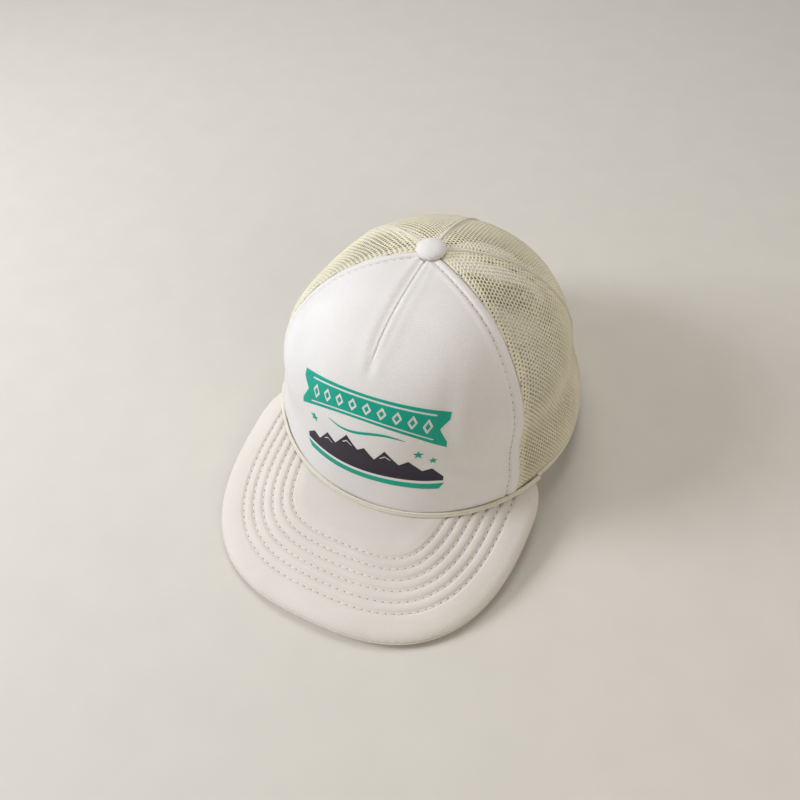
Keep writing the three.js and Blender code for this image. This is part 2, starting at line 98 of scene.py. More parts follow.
TT = np.linspace(0, 1, 201)
UT = np.zeros((181, 201))
for _p in range(181):
    n = float(npow(_p))
    end = math.acos(0.048 ** (n / 2))
    th = end * (1 - (1 - np.linspace(0, 1, 700)) ** 1.6)
    uu = np.sin(th) ** (2 / n)
    P = crown(_p, uu)
    ln = np.concatenate([[0], np.cumsum(np.linalg.norm(np.diff(P, axis=0), axis=1))])
    UT[_p] = np.interp(TT, ln / ln[-1], uu)


def u_at(phi, t):
    a, t = np.broadcast_arrays(wrap(phi), np.clip(t, 0, 1))
    i = np.clip(a.astype(int), 0, 179)
    j = np.clip((t * 200).astype(int), 0, 199)
    fa, ft = a - i, t * 200 - j
    return (UT[i, j] * (1 - fa) + UT[i + 1, j] * fa) * (1 - ft) + (UT[i, j + 1] * (1 - fa) + UT[i + 1, j + 1] * fa) * ft


def unit(v):
    return v / np.maximum(np.linalg.norm(v, axis=-1, keepdims=True), 1e-12)


def cnormal(phi, u):
    uu = np.clip(u, 0.002, 0.9985)
    a = crown(phi + 0.4, uu) - crown(phi - 0.4, uu)
    b = crown(phi, np.minimum(uu + 0.003, 0.9996)) - crown(phi, uu - 0.003)
    return unit(np.cross(a, b))


def wall(phi, u, off):
    return crown(phi, u) + cnormal(phi, u) * np.asarray(off)[..., None]


def rdeg(phi, u):
    """Millimetres along the wall for one degree."""
    return np.linalg.norm(crown(phi + 0.5, u) - crown(phi - 0.5, u), axis=-1)


def seam(u):
    return PS0 + PS1 * u


# ---------------------------------------------------------------- mesh building
def make(name, V, Q=None, T=None, mat=None, uv=None, body="cap", smooth=True):
    V = np.array(V, float).reshape(-1, 3)
    V[:, 1] += OY
    V *= 1e-3
    me = bpy.data.meshes.new(name)
    parts = [np.asarray(F, np.int32) for F in (Q, T) if F is not None and len(F)]
    loops = np.concatenate([F.ravel() for F in parts])
    sizes = np.concatenate([np.full(len(F), F.shape[1], np.int32) for F in parts])
    starts = np.concatenate([[0], np.cumsum(sizes)[:-1]]).astype(np.int32)
    me.vertices.add(len(V))
    me.vertices.foreach_set("co", V.astype(np.float32).ravel())
    me.loops.add(len(loops))
    me.loops.foreach_set("vertex_index", loops)
    me.polygons.add(len(sizes))
    me.polygons.foreach_set("loop_start", starts)
    me.polygons.foreach_set("use_smooth", np.full(len(sizes), smooth))
    me.update(calc_edges=True)
    me.validate()
    if uv is not None:
        layer = me.uv_layers.new(name="weave")
        uv = np.asarray(uv, float)
        idx = np.zeros(len(me.loops), np.int32)
        me.loops.foreach_get("vertex_index", idx)
        layer.data.foreach_set("uv", (uv[idx] * 1e-3).astype(np.float32).ravel())
    o = bpy.data.objects.new(name, me)
    bpy.context.collection.objects.link(o)
    if mat:
        me.materials.append(mat)
    if body:
        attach(o, body)
    return o


def quads(nu, nv, off=0, flip=False, closed_v=False):
    i = np.arange(nu - 1)[:, None]
    m = nv if closed_v else nv - 1
    j = np.arange(m)[None, :]
    jn = (j + 1) % nv
    a, b, c, d = i * nv + j, (i + 1) * nv + j, (i + 1) * nv + jn, i * nv + jn
    q = np.stack([a, b, c, d], -1).reshape(-1, 4) + off
    return q[:, ::-1] if flip else q


def shell(name, outer, inner, mat, uv=None, **k):
    """A closed slab from two grids [nu, nv, 3]; s x t points out of the outer one."""
    nu, nv = outer.shape[:2]
    n = nu * nv
    V = np.concatenate([outer.reshape(-1, 3), inner.reshape(-1, 3)])
    idx = np.arange(n).reshape(nu, nv)
    rim = np.concatenate([idx[:, 0], idx[-1, 1:], idx[-2::-1, -1], idx[0, -2:0:-1]])
    nx = np.roll(rim, -1)
    side = np.stack([nx, rim, rim + n, nx + n], -1)
    Q = np.concatenate([quads(nu, nv), quads(nu, nv, n, True), side])
    if uv is not None:
        uv = np.concatenate([uv.reshape(-1, 2)] * 2)
    return make(name, V, Q, mat=mat, uv=uv, **k)


def sweep(name, C, E1, E2, prof, mat, uvscale=1.0, **k):
    """A closed tube: profile points (a, b) in the frame E1, E2 along the path C; prof is [m,2] or [n,m,2]."""
    C, E1, E2 = (np.asarray(a, float) for a in (C, E1, E2))
    n = len(C)
    prof = np.broadcast_to(prof, (n,) + np.shape(prof)[-2:])
    V = C[:, None] + prof[..., :1] * E1[:, None] + prof[..., 1:] * E2[:, None]
    m = V.shape[1]
    Q = quads(n, m, closed_v=True)
    ends = np.concatenate([V.reshape(-1, 3), V[0].mean(0)[None], V[-1].mean(0)[None]])
    j = np.arange(m)
    jn = (j + 1) % m
    T = np.concatenate([np.stack([np.full(m, n * m), j, jn], -1)[:, [0, 1, 2]],
                        np.stack([np.full(m, n * m + 1), (n - 1) * m + jn, (n - 1) * m + j], -1)])
    ln = np.concatenate([[0], np.cumsum(np.linalg.norm(np.diff(C, axis=0), axis=1))])
    per = np.concatenate([[0], np.cumsum(np.linalg.norm(np.diff(prof[0], axis=0), axis=1))])
    uv = np.stack(np.broadcast_arrays(ln[:, None], per[None, :]), -1).reshape(-1, 2)
    uv = np.concatenate([uv, uv[:1], uv[-1:]])
    o = make(name, ends, Q, T, mat=mat, uv=uv, **k)
    fix_out(o)
    return o


def fix_out(o):
    """Turns a closed mesh's faces outward."""
    import bmesh
    bm = bmesh.new()
    bm.from_mesh(o.data)
    bmesh.ops.recalc_face_normals(bm, faces=bm.faces)
    bm.to_mesh(o.data)
    bm.free()


def capsule():
    """A stitch lying along X: unit length and radius."""
    xs = np.array([-0.5, -0.47, -0.38, -0.2, 0, 0.2, 0.38, 0.47, 0.5])
    rs = np.array([0, 0.42, 0.8, 0.97, 1, 0.97, 0.8, 0.42, 0])
    V, m = [[-0.5, 0, -0.35]], 8
    for x, r in zip(xs[1:-1], rs[1:-1]):
        a = np.arange(m) / m * 2 * np.pi
        lift = -0.35 * (abs(x) * 2) ** 4
        V += [[x, r * np.cos(b), r * np.sin(b) + lift] for b in a]
    V.append([0.5, 0, -0.35])
    k = len(xs) - 2
    Q = quads(k, m, 1, True, True)
    j = np.arange(m)
    T = np.concatenate([np.stack([np.zeros(m, int), 1 + (j + 1) % m, 1 + j], -1),
                        np.stack([np.full(m, 1 + k * m), 1 + (k - 1) * m + j, 1 + (k - 1) * m + (j + 1) % m], -1)])
    return np.array(V), Q, T


CAPV, CAPQ, CAPT = capsule()


def stitch_rows(name, rows, mat, pitch=4.5, share=0.72, r=0.3, flat=0.75, body="cap", holes=False):
    """rows: list of (points, normals). One thread stitch for each pitch."""
    V, Q, T, off = [], [], [], 0
    for P, N in rows:
        P, N = np.asarray(P, float), unit(np.asarray(N, float))
        d = np.concatenate([[0], np.cumsum(np.linalg.norm(np.diff(P, axis=0), axis=1))])
        if d[-1] < pitch:
            continue
        n = max(1, int(d[-1] / pitch))
        c = (np.arange(n) + 0.5) / n * d[-1]
        g = lambda q, A: np.stack([np.interp(q, d, A[:, k]) for k in range(3)], -1)
        ln = d[-1] / n * share
        a, b = g(c - ln / 2, P), g(c + ln / 2, P)
        x = unit(b - a)
        z = unit(g(c, N))
        y = unit(np.cross(z, x))
        z = np.cross(x, y)
        mid = (a + b) / 2
        L = np.linalg.norm(b - a, axis=1)
        W = (mid[:, None] + x[:, None] * (CAPV[None, :, :1] * L[:, None, None])
             + y[:, None] * CAPV[None, :, 1:2] * r + z[:, None] * CAPV[None, :, 2:3] * r * flat)
        k = len(CAPV)
        o = off + np.arange(n) * k
        V.append(W.reshape(-1, 3))
        Q.append((CAPQ[None] + o[:, None, None]).reshape(-1, 4))
        T.append((CAPT[None] + o[:, None, None]).reshape(-1, 3))
        off += n * k
    o_ = make(name, np.concatenate(V), np.concatenate(Q), np.concatenate(T), mat=mat, body=body)
    # darker marks painted as the shade in the needle holes
    if holes:
        h_ = needle_holes(name.replace("stitches", "needle_holes"), rows, pitch)
    return o_


def needle_holes(name, rows, pitch):
    """Small darker capsules between the stitches: painted shade in the needle holes where the thread goes through the
    cloth.
    """
    V, Q, T, off = [], [], [], 0
    for P, N in rows:
        P, N = np.asarray(P, float), unit(np.asarray(N, float))
        d = np.concatenate([[0], np.cumsum(np.linalg.norm(np.diff(P, axis=0), axis=1))])
        if d[-1] < pitch:
            continue
        n = max(1, int(d[-1] / pitch))
        c = np.arange(n + 1) / n * d[-1]
        g = lambda q, A: np.stack([np.interp(q, d, A[:, k]) for k in range(3)], -1)
        a, b = g(np.clip(c - 0.5, 0, d[-1]), P), g(np.clip(c + 0.5, 0, d[-1]), P)
        x = unit(b - a)
        z = unit(g(c, N))
        y = unit(np.cross(z, x))
        z = np.cross(x, y)
        mid = (a + b) / 2 - z * 0.17
        W = (mid[:, None] + x[:, None] * (CAPV[None, :, :1] * pitch * 0.27) + y[:, None] * CAPV[None, :, 1:2] * 0.36
             + z[:, None] * CAPV[None, :, 2:3] * 0.16)
        k = len(CAPV)
        o = off + np.arange(n + 1) * k
        V.append(W.reshape(-1, 3))
        Q.append((CAPQ[None] + o[:, None, None]).reshape(-1, 4))
        T.append((CAPT[None] + o[:, None, None]).reshape(-1, 3))
        off += (n + 1) * k
    return make(name, np.concatenate(V), np.concatenate(Q), np.concatenate(T), mat=M_PIT_SHADE)


# -------------------------------------------------------------------- materials
def new_mat(name, color, rough=0.85, metal=0.0, sheen=0.0, spec=0.35):
    m = bpy.data.materials.new(name)
    m.use_nodes = True
    nt = m.node_tree
    b = nt.nodes["Principled BSDF"]
    b.inputs["Base Color"].default_value = (*color, 1)
    b.inputs["Roughness"].default_value = rough
    b.inputs["Metallic"].default_value = metal
    b.inputs["Sheen Weight"].default_value = sheen
    b.inputs["Specular IOR Level"].default_value = spec
    return m, nt, b


def lin(hexa):
    c = [int(hexa[i:i + 2], 16) / 255 for i in (0, 2, 4)]
    return tuple(x / 12.92 if x <= 0.04045 else ((x + 0.055) / 1.055) ** 2.4 for x in c)


def node(nt, kind, **k):
    n = nt.nodes.new(kind)
    for a, v in k.items():
        setattr(n, a, v)
    return n


def cloth(name, color, dark=0.86, pitch=0.55, bump=0.25, rough=0.9, sheen=0.15, uvs=True, blotch=25.0, twill=False):
    """A woven cloth: two crossed thread directions for colour and bump, with soft tonal drift and fine fuzz."""
    m, nt, b = new_mat(name, color, rough, 0, sheen)
    L = nt.links.new
    if uvs:
        co = node(nt, "ShaderNodeUVMap", uv_map="weave").outputs["UV"]
    else:
        co = node(nt, "ShaderNodeTexCoord").outputs["Object"]
    obj = node(nt, "ShaderNodeTexCoord").outputs["Object"]
    scale = 1000.0 / pitch / (2 * math.pi) * 1.0
    waves = []
    for k, d in enumerate(("X", "Y")):
        w = node(nt, "ShaderNodeTexWave", wave_type="BANDS", bands_direction="DIAGONAL" if (twill and k == 0) else d, wave_profile="SIN")
        w.inputs["Scale"].default_value = scale * 1.0
        w.inputs["Distortion"].default_value = 0.6
        w.inputs["Detail"].default_value = 1.0
        w.inputs["Detail Scale"].default_value = 2.0
        L(co, w.inputs["Vector"])
        waves.append(w.outputs["Fac"])
    mul = node(nt, "ShaderNodeMath", operation="MULTIPLY")
    L(waves[0], mul.inputs[0]); L(waves[1], mul.inputs[1])
    fuzz = node(nt, "ShaderNodeTexNoise"); fuzz.inputs["Scale"].default_value = 2600; fuzz.inputs["Detail"].default_value = 3
    L(obj, fuzz.inputs["Vector"])
    soft = node(nt, "ShaderNodeTexNoise"); soft.inputs["Scale"].default_value = blotch; soft.inputs["Detail"].default_value = 3
    L(obj, soft.inputs["Vector"])
    add = node(nt, "ShaderNodeMath", operation="MULTIPLY_ADD"); add.inputs[1].default_value = 0.45
    L(fuzz.outputs["Fac"], add.inputs[0]); L(mul.outputs[0], add.inputs[2])
    r1 = node(nt, "ShaderNodeValToRGB")
    r1.color_ramp.elements[0].position = 0.15; r1.color_ramp.elements[1].position = 0.85
    r1.color_ramp.elements[0].color = (*[c * dark for c in color], 1)
    r1.color_ramp.elements[1].color = (*[min(1, c * 1.02) for c in color], 1)
    L(add.outputs[0], r1.inputs["Fac"])
    r2 = node(nt, "ShaderNodeValToRGB")
    r2.color_ramp.elements[0].position = 0.32; r2.color_ramp.elements[1].position = 0.68
    r2.color_ramp.elements[0].color = (0.93, 0.925, 0.915, 1); r2.color_ramp.elements[1].color = (1, 1, 1, 1)
    L(soft.outputs["Fac"], r2.inputs["Fac"])
    mix = node(nt, "ShaderNodeMix", data_type="RGBA", blend_type="MULTIPLY"); mix.inputs["Factor"].default_value = 1
    L(r1.outputs["Color"], mix.inputs["A"]); L(r2.outputs["Color"], mix.inputs["B"])
    L(mix.outputs["Result"], b.inputs["Base Color"])
    bp = node(nt, "ShaderNodeBump"); bp.inputs["Strength"].default_value = bump; bp.inputs["Distance"].default_value = 0.0004
    L(add.outputs[0], bp.inputs["Height"]); L(bp.outputs["Normal"], b.inputs["Normal"])
    rr = node(nt, "ShaderNodeMapRange"); rr.inputs["To Min"].default_value = rough - 0.08; rr.inputs["To Max"].default_value = min(1, rough + 0.06)
    L(soft.outputs["Fac"], rr.inputs["Value"]); L(rr.outputs["Result"], b.inputs["Roughness"])
    return m


def grain(name, color, rough=0.5, scale=900, bump=0.15, dist=0.0002, metal=0.0, vary=0.9, detail=4, kind="noise", streak=None):
    """A moulded, foamed, inked or metal surface: fine grain in the bump, slow drift in colour and roughness."""
    m, nt, b = new_mat(name, color, rough, metal)
    L = nt.links.new
    obj = node(nt, "ShaderNodeTexCoord").outputs["Object"]
    if streak:
        mp = node(nt, "ShaderNodeMapping"); mp.inputs["Scale"].default_value = streak
        L(obj, mp.inputs["Vector"]); obj = mp.outputs["Vector"]
    f = node(nt, "ShaderNodeTexVoronoi" if kind == "cells" else "ShaderNodeTexNoise")
    f.inputs["Scale"].default_value = scale
    L(obj, f.inputs["Vector"])
    out = f.outputs["Distance"] if kind == "cells" else f.outputs["Fac"]
    if kind != "cells":
        f.inputs["Detail"].default_value = detail
    soft = node(nt, "ShaderNodeTexNoise"); soft.inputs["Scale"].default_value = 40; soft.inputs["Detail"].default_value = 4
    L(obj, soft.inputs["Vector"])
    r = node(nt, "ShaderNodeValToRGB")
    r.color_ramp.elements[0].position = 0.3; r.color_ramp.elements[1].position = 0.7
    r.color_ramp.elements[0].color = (*[c * vary for c in color], 1); r.color_ramp.elements[1].color = (*color, 1)
    L(soft.outputs["Fac"], r.inputs["Fac"]); L(r.outputs["Color"], b.inputs["Base Color"])
    bp = node(nt, "ShaderNodeBump"); bp.inputs["Strength"].default_value = bump; bp.inputs["Distance"].default_value = dist
    L(out, bp.inputs["Height"]); L(bp.outputs["Normal"], b.inputs["Normal"])
    rr = node(nt, "ShaderNodeMapRange"); rr.inputs["To Min"].default_value = max(0.05, rough - 0.08); rr.inputs["To Max"].default_value = min(1, rough + 0.1)
    L(soft.outputs["Fac"], rr.inputs["Value"]); L(rr.outputs["Result"], b.inputs["Roughness"])
    return m


M_FACE = cloth("face_cloth", lin("efecea"), dark=0.9, pitch=0.5, bump=0.22, sheen=0.2)
M_VISOR = cloth("visor_cloth", lin("ebe4dd"), dark=0.88, pitch=0.5, bump=0.3, sheen=0.2)
M_UNDER = cloth("under_cloth", lin("e2dbcf"), dark=0.86, pitch=0.55, bump=0.3)
M_NET = grain("net_yarn", lin("ede6cd"), rough=0.5, scale=1500, bump=0.35, dist=0.00025, vary=0.88)
M_PIPE = cloth("cord_trim", lin("f5efde"), dark=0.88, pitch=0.6, bump=0.6, uvs=True)
M_BIND = cloth("binding", lin("ece6d5"), dark=0.86, pitch=0.6, bump=0.5, uvs=True)
M_BAND = cloth("band_cloth", lin("cfc7b6"), dark=0.82, pitch=0.8, bump=0.5, twill=True)
M_TAPE = cloth("tape", lin("d8d1c0"), dark=0.82, pitch=0.6, bump=0.5)
M_FOAM = grain("foam", lin("e4dfd2"), rough=0.95, scale=1400, bump=0.6, dist=0.0005, kind="cells", vary=0.92)
M_BOARD = grain("board", lin("ebebe6"), rough=0.5, scale=500, bump=0.1)
M_STRAP = grain("strap_plastic", lin("e6dfc8"), rough=0.42, scale=1200, bump=0.12, dist=0.0001, vary=0.94)
M_METAL = grain("button_metal", lin("a9a9a6"), rough=0.35, scale=700, bump=0.15, metal=1.0, vary=0.8)
M_THREAD = grain("thread", lin("efe9dd"), rough=0.6, scale=3500, bump=0.6, dist=0.0002, vary=0.85)
# needle holes: a darker colour painted as the shade inside them
M_PIT_SHADE = grain("needle_pit_painted_shade", lin("aba295"), rough=0.95, scale=2500, bump=0.3, vary=0.7)
M_TEAL = grain("ink_teal", lin("02a88f"), rough=0.55, scale=2200, bump=0.35, dist=0.00015, vary=0.86)
M_DARK = grain("ink_dark", lin("241a30"), rough=0.5, scale=2200, bump=0.35, dist=0.00015, vary=0.7)
M_FLOOR = grain("floor_finish", lin("d9d5cc"), rough=0.9, scale=60, bump=0.05, dist=0.001, vary=0.97)

# --------------------------------------------------------------- camera, lights
AZ, EL, ROLL, F_PX = 29.3096, 52.2710, -4.5132, 742.133
CAM = np.array([123.0663, -258.1480 + OY, 376.5939]) * 1e-3
az, el, ro = math.radians(AZ), math.radians(EL), math.radians(ROLL)
back = Vector((math.sin(az) * math.cos(el), -math.cos(az) * math.cos(el), math.sin(el)))
right = (-back).cross(Vector((0, 0, 1))).normalized()
up = right.cross(-back)
rx = right * math.cos(ro) + up * math.sin(ro)
ux = -right * math.sin(ro) + up * math.cos(ro)
cam_data = bpy.data.cameras.new("camera")
cam_data.sensor_width = 36
cam_data.lens = F_PX / 800 * 36
cam_data.clip_start, cam_data.clip_end = 0.01, 20
cam = bpy.data.objects.new("camera", cam_data)
bpy.context.collection.objects.link(cam)
cam.matrix_world = Matrix(((rx.x, ux.x, back.x, CAM[0]), (rx.y, ux.y, back.y, CAM[1]), (rx.z, ux.z, back.z, CAM[2]), (0, 0, 0, 1)))
bpy.context.scene.camera = cam


def area(name, loc, target, size, power, color):
    d = bpy.data.lights.new(name, "AREA")
    d.shape, d.size, d.energy, d.color = "DISK", size, power, color
    o = bpy.data.objects.new(name, d)
    bpy.context.collection.objects.link(o)
    o.location = loc
    o.rotation_euler = (Vector(target) - Vector(loc)).to_track_quat("-Z", "Y").to_euler()


area("key", (-0.95, -0.45, 0.70), (0, 0, 0.06), 0.48, 11.2, (0.92, 0.95, 1.0))
area("top", (-0.25, 0.45, 1.2), (0, 0, 0.05), 0.8, 6.0, (1.0, 0.98, 0.95))
area("fill", (0.9, -0.5, 0.6), (0, 0, 0.05), 0.8, 3.2, (1.0, 0.88, 0.73))
world = bpy.data.worlds.new("world")
bpy.context.scene.world = world
world.use_nodes = True
world.node_tree.nodes["Background"].inputs["Color"].default_value = (0.80, 0.79, 0.78, 1)
world.node_tree.nodes["Background"].inputs["Strength"].default_value = 0.26
bpy.context.scene.view_settings.view_transform = "Standard"

bpy.ops.mesh.primitive_plane_add(size=6, location=(0, 0, -0.0004))
floor = bpy.context.object
floor.name = "floor"
floor.data.materials.append(M_FLOOR)


# ------------------------------------------------------------------ front panel
def spaced(n, peaks):
    """n + 1 values from 0 to 1, closer together near each (centre, width, gain)."""
    x = np.linspace(0, 1, 4001)
    w = np.ones_like(x)
    for c, s, g in peaks:
        w += g * np.exp(-((x - c) / s) ** 2)
    cum = np.concatenate([[0], np.cumsum((w[1:] + w[:-1]) / 2)])
    return np.interp(np.linspace(0, cum[-1], n + 1), cum, x)


T_DART = float(np.interp(0.872, UT[0], TT))


def front_bump(phi, u, t):
    """Padded rim, centre dart and soft unevenness of the front, in millimetres along the normal."""
    r = rdeg(phi, u)
    de = (seam(u) - np.abs(phi)) * r
    dd = np.abs(phi) * r
    d = np.zeros_like(r)
    rimw = 7.0
    d += 0.62 * np.sin(np.pi * np.clip(de / rimw, 0, 1)) ** 0.8 * (de < rimw)     # puffed rim
    d -= 0.6 * np.exp(-((de - rimw) / 0.75) ** 2)                              # stitch groove
    d -= 0.9 * np.exp(-(de / 0.8) ** 2)
    d += 0.35 * np.exp(-((de - rimw - 2.6) / 1.8) ** 2)
    w = sm((t - T_DART) / 0.07)
    side = phi * r
    d += w * (-2.0 * np.exp(-(dd / 0.5) ** 2) + 0.38 * np.exp(-((side - 1.9) / 1.7) ** 2) - 0.42 * np.exp(-((side + 2.2) / 2.0) ** 2) + 0.25 * np.exp(-((dd - 6) / 3) ** 2))
    s = (t - T_DART) * 150
    d -= 0.5 * np.exp(-(dd / 2.2) ** 2 - ((s + 1) / 4.5) ** 2)
    d += 0.25 * np.exp(-((dd - 4.5) / 2.5) ** 2 - ((s - 1) / 7) ** 2)
    P = crown(phi, u)
    x, z = P[..., 0], P[..., 2]
    d += 0.35 * np.sin(x / 17 + 0.8) * np.sin(z / 15 + 1.9) + 0.22 * np.sin(x / 9.5 - z / 12 + 0.5)
    # a soft diagonal fold low on the wearer's left, and a dent over the brow
    q = (x - 58) * 0.55 + (z - 44) * 0.83
    along = np.exp(-(((x - 58) * 0.83 - (z - 44) * 0.55) / 18) ** 2)
    d += (1.0 * np.exp(-(q / 3.6) ** 2) - 0.8 * np.exp(-((q + 7) / 4) ** 2)) * along
    # an upright soft crease above it
    c = (x - 45) * 0.97 + (z - 78) * 0.22
    tall = np.exp(-(((z - 80) * 0.97 - (x - 45) * 0.22) / 21) ** 2)
    d += (0.65 * np.exp(-((c - 4.5) / 4) ** 2) - 0.75 * np.exp(-((c + 2.5) / 3.6) ** 2)) * tall
    d -= 0.6 * np.exp(-((x + 6) / 28) ** 2 - ((z - 31) / 8) ** 2)
    edge = np.clip(de / 1.5, 0, 1)
    return d * (0.35 + 0.65 * edge)


def front_grid(S, T, inset=0.0):
    s, t = np.meshgrid(S, T, indexing="ij")
    phi = np.zeros_like(s)
    u = u_at(30, t)
    for _ in range(4):
        r = np.maximum(rdeg(30, u), 0.03)
        a = np.maximum(seam(u) - inset / r, 1.0)
        phi = a * (2 * s - 1)
        u = u_at(phi, t)
    return phi, u, t


S = spaced(250, [(0.5, 0.03, 3.0), (0.03, 0.03, 1.5), (0.97, 0.03, 1.5)])
T = spaced(185, [(1.0, 0.05, 1.0), (0.0, 0.03, 0.6)])
phi, u, t = front_grid(S, T)
lift = 0.2 / H
uw = lift + (1 - lift) * u
outer = wall(phi, uw, front_bump(phi, uw, t))
inner = wall(phi, uw, np.full_like(u, -0.85))
L0 = 150.0
uvf = np.stack([phi * rdeg(phi, np.minimum(u, 0.6)), t * L0], -1)
front = shell("front_face", outer, inner, M_FACE, uv=uvf)
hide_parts("front_panel_face")

phi, u, t = front_grid(np.linspace(0, 1, 90), np.linspace(0.01, 0.93, 80), 6.0)
# the foam's inner side: faint cell texture and pull lines toward the dart
wv = 0.25 * np.sin(phi / 6.0) * np.sin(u * 14)
foam = shell("front_foam", wall(phi, u, np.full_like(u, -1.2)), wall(phi, u, -4.2 + wv), M_FOAM,
             uv=np.stack([phi * 1.5, t * L0], -1))
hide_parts("front_panel_foam")

# top stitching round the front panel
rows = []
for sg in (-1, 1):
    tt = np.linspace(0.01, 0.955, 320)
    ph = np.full_like(tt, 55.0)
    for _ in range(6):
        uu = u_at(ph, tt)
        ph = seam(uu) - 7.0 / np.maximum(rdeg(ph, uu), 0.03)
    ok = ph > 3
    ph, tt = ph[ok] * sg, tt[ok]
    uu = u_at(ph, tt)
    rows.append((wall(ph, uu, front_bump(ph, uu, tt) + 0.26), cnormal(ph, uu)))
o = stitch_rows("front_rim_stitches", rows, M_THREAD, pitch=4.0, r=0.42, share=0.62, holes=True)


# -------------------------------------------------------------------- net panels
ARCH_HALF, ARCH_TOP, ARCH_POWER = 46.0, 58.0, 2.3


def arch_f(x, z, grow=0.0):
    return (np.abs(x) / (ARCH_HALF + grow)) ** ARCH_POWER + (np.maximum(z, 0) / (ARCH_TOP + grow)) ** ARCH_POWER


def rear_phi(x, z):
    """Angle on the rear wall for a point seen from behind."""
    u = np.clip(z / H, 0, 0.999)
    phi = np.full_like(np.asarray(x, float), 165.0)
    for _ in range(14):
        rho = crown(phi, u)[..., 0] / (B * np.sin(rad(phi)) + 1e-9)
        phi = 180 - np.degrees(np.arcsin(np.clip(np.abs(x) / (B * rho), 0, 0.9999)))
        phi = np.minimum(phi, 179.97)
    return phi, u


PITCH, HOLE = 2.25, 0.74


def net(name, lo, hi, mid, sign, nodes, arch=False):
    """A knitted net: a lattice of round holes between strands, laid out from the panel's middle line."""
    tt = np.linspace(0, 1, 400)
    um = u_at(mid, tt)
    Pm = crown(mid, um)
    L = np.linalg.norm(np.diff(Pm, axis=0), axis=1).sum()
    rowh = PITCH * math.sqrt(3) / 2
    nr = int(L / rowh) + 1
    cells = []
    for j in range(nr):
        v = j * rowh
        uj = float(u_at(mid, v / L))
        r = float(rdeg(mid, uj))
        a, b = lo(uj), hi(uj)
        h0, h1 = (a - mid) * r, (b - mid) * r
        k0, k1 = int(h0 / PITCH) - 2, int(h1 / PITCH) + 2
        for k in range(k0, k1 + 1):
            h = (k + 0.5 * (j % 2)) * PITCH
            if h0 - 0.35 * PITCH <= h <= h1 + 0.35 * PITCH:
                cells.append((h, v))
    C = np.array(cells)
    ang = np.radians(30 + 30 * np.arange(12))
    Rc = PITCH / math.sqrt(3)
    ro_ = np.where(np.arange(12) % 2 == 0, Rc, PITCH / 2)
    ring = np.stack([np.cos(ang) * ro_, np.sin(ang) * ro_], -1)
    hole = np.stack([np.cos(ang), np.sin(ang)], -1)

    def place(hv):
        v = np.clip(hv[..., 1], 0, L)
        uu_ = u_at(mid, v / L)
        r = np.maximum(rdeg(mid, uu_), 0.03)
        ph = mid + hv[..., 0] / r
        a, b = lo(uu_), hi(uu_)
        de = np.minimum(ph - a, b - ph) * r
        ph = np.clip(ph, a, b)
        return ph, uu_, de

    pc, uc, de = place(C)
    if arch:
        X = crown(pc, uc)
        keep = arch_f(X[:, 0], X[:, 2], 0.6) > 1
        # in-plane distance to the opening, roughly
        C, pc, uc, de = C[keep], pc[keep], uc[keep], de[keep]
        X = X[keep]
        f = arch_f(X[:, 0], X[:, 2], 0.0)
        da = (f ** (1 / ARCH_POWER) - 1) * 50
        de = np.minimum(de, da)
    rad_h = np.where(de < 0.9, 0.12, np.where(de < 4.6, HOLE * 0.62, HOLE))
    rng = np.random.default_rng(int(mid))
    rad_h = rad_h * (1 + 0.05 * rng.standard_normal(len(rad_h)))
    outer2 = C[:, None] + ring[None]
    inner2 = C[:, None] + hole[None] * rad_h[:, None, None] * np.array([1.0, 1.08])
    key = np.round(outer2.reshape(-1, 2) / 0.02).astype(np.int64)
    uq, first, inv = np.unique(key, axis=0, return_index=True, return_inverse=True)
    inv = inv.reshape(-1, 12)
    O2 = outer2.reshape(-1, 2)[first]
    A2 = np.concatenate([O2, inner2.reshape(-1, 2)])
    ph, uu_, _ = place(A2)
    if arch:
        X = crown(ph, uu_)
        f = arch_f(X[:, 0], X[:, 2])
        bad = f < 1
        if bad.any():
            k = f[bad] ** (-1 / ARCH_POWER)
            p2, u2 = rear_phi(X[bad, 0] * k, X[bad, 2] * k)
            ph[bad], uu_[bad] = p2, u2
    no = len(O2)
    lowlift = np.where(wrap(ph) < PV - 3, 0.3, 1.2) / H
    uu_ = np.maximum(uu_, lowlift)
    is_in = np.arange(len(A2)) >= no
    top = np.where(is_in, -0.2, 0.08)
    bot = np.where(is_in, -0.55, -0.78)
    # slack of the net: slow waves between the seams
    Pn = crown(ph, uu_)
    wave = 0.45 * np.sin(Pn[:, 2] / 21 + 0.7) * np.sin(Pn[:, 1] / 18 + 0.4) + 0.25 * np.sin(Pn[:, 2] / 9 + Pn[:, 1] / 13)
    a_, b_ = lo(uu_), hi(uu_)
    free = np.clip(np.minimum(ph - a_, b_ - ph) * np.maximum(rdeg(mid, uu_), .03) / 10, 0, 1)
    wave = wave * free
    N = cnormal(ph, uu_)
    VT, VB = Pn + N * (top + wave)[:, None], Pn + N * (bot + wave)[:, None]
    V = np.concatenate([VT, VB])
    n = len(A2)
    m = np.arange(len(C))
    ii = (no + m[:, None] * 12 + np.arange(12)[None])
    nxt = np.roll(np.arange(12), -1)
    a, b = inv, inv[:, nxt]
    c, d = ii[:, nxt], ii
    topq = np.stack([a, b, c, d], -1).reshape(-1, 4)
    botq = topq[:, ::-1] + n
    wallq = np.stack([d, c, c + n, d + n], -1).reshape(-1, 4)
    Q = np.concatenate([topq, botq, wallq])
    V[:, 0] *= sign
    if sign < 0:
        Q = Q[:, ::-1]
    # a face collapsed by the edge trim is dropped
    P4 = V[Q]
    ar = np.linalg.norm(np.cross(P4[:, 2] - P4[:, 0], P4[:, 3] - P4[:, 1]), axis=1)
    Q = Q[ar > 1e-4]
    used = np.zeros(len(V), bool)
    used[Q.ravel()] = True
    re = np.cumsum(used) - 1
    o = make(name, V[used], re[Q], mat=M_NET)
    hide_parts(*nodes)
    return len(Q)


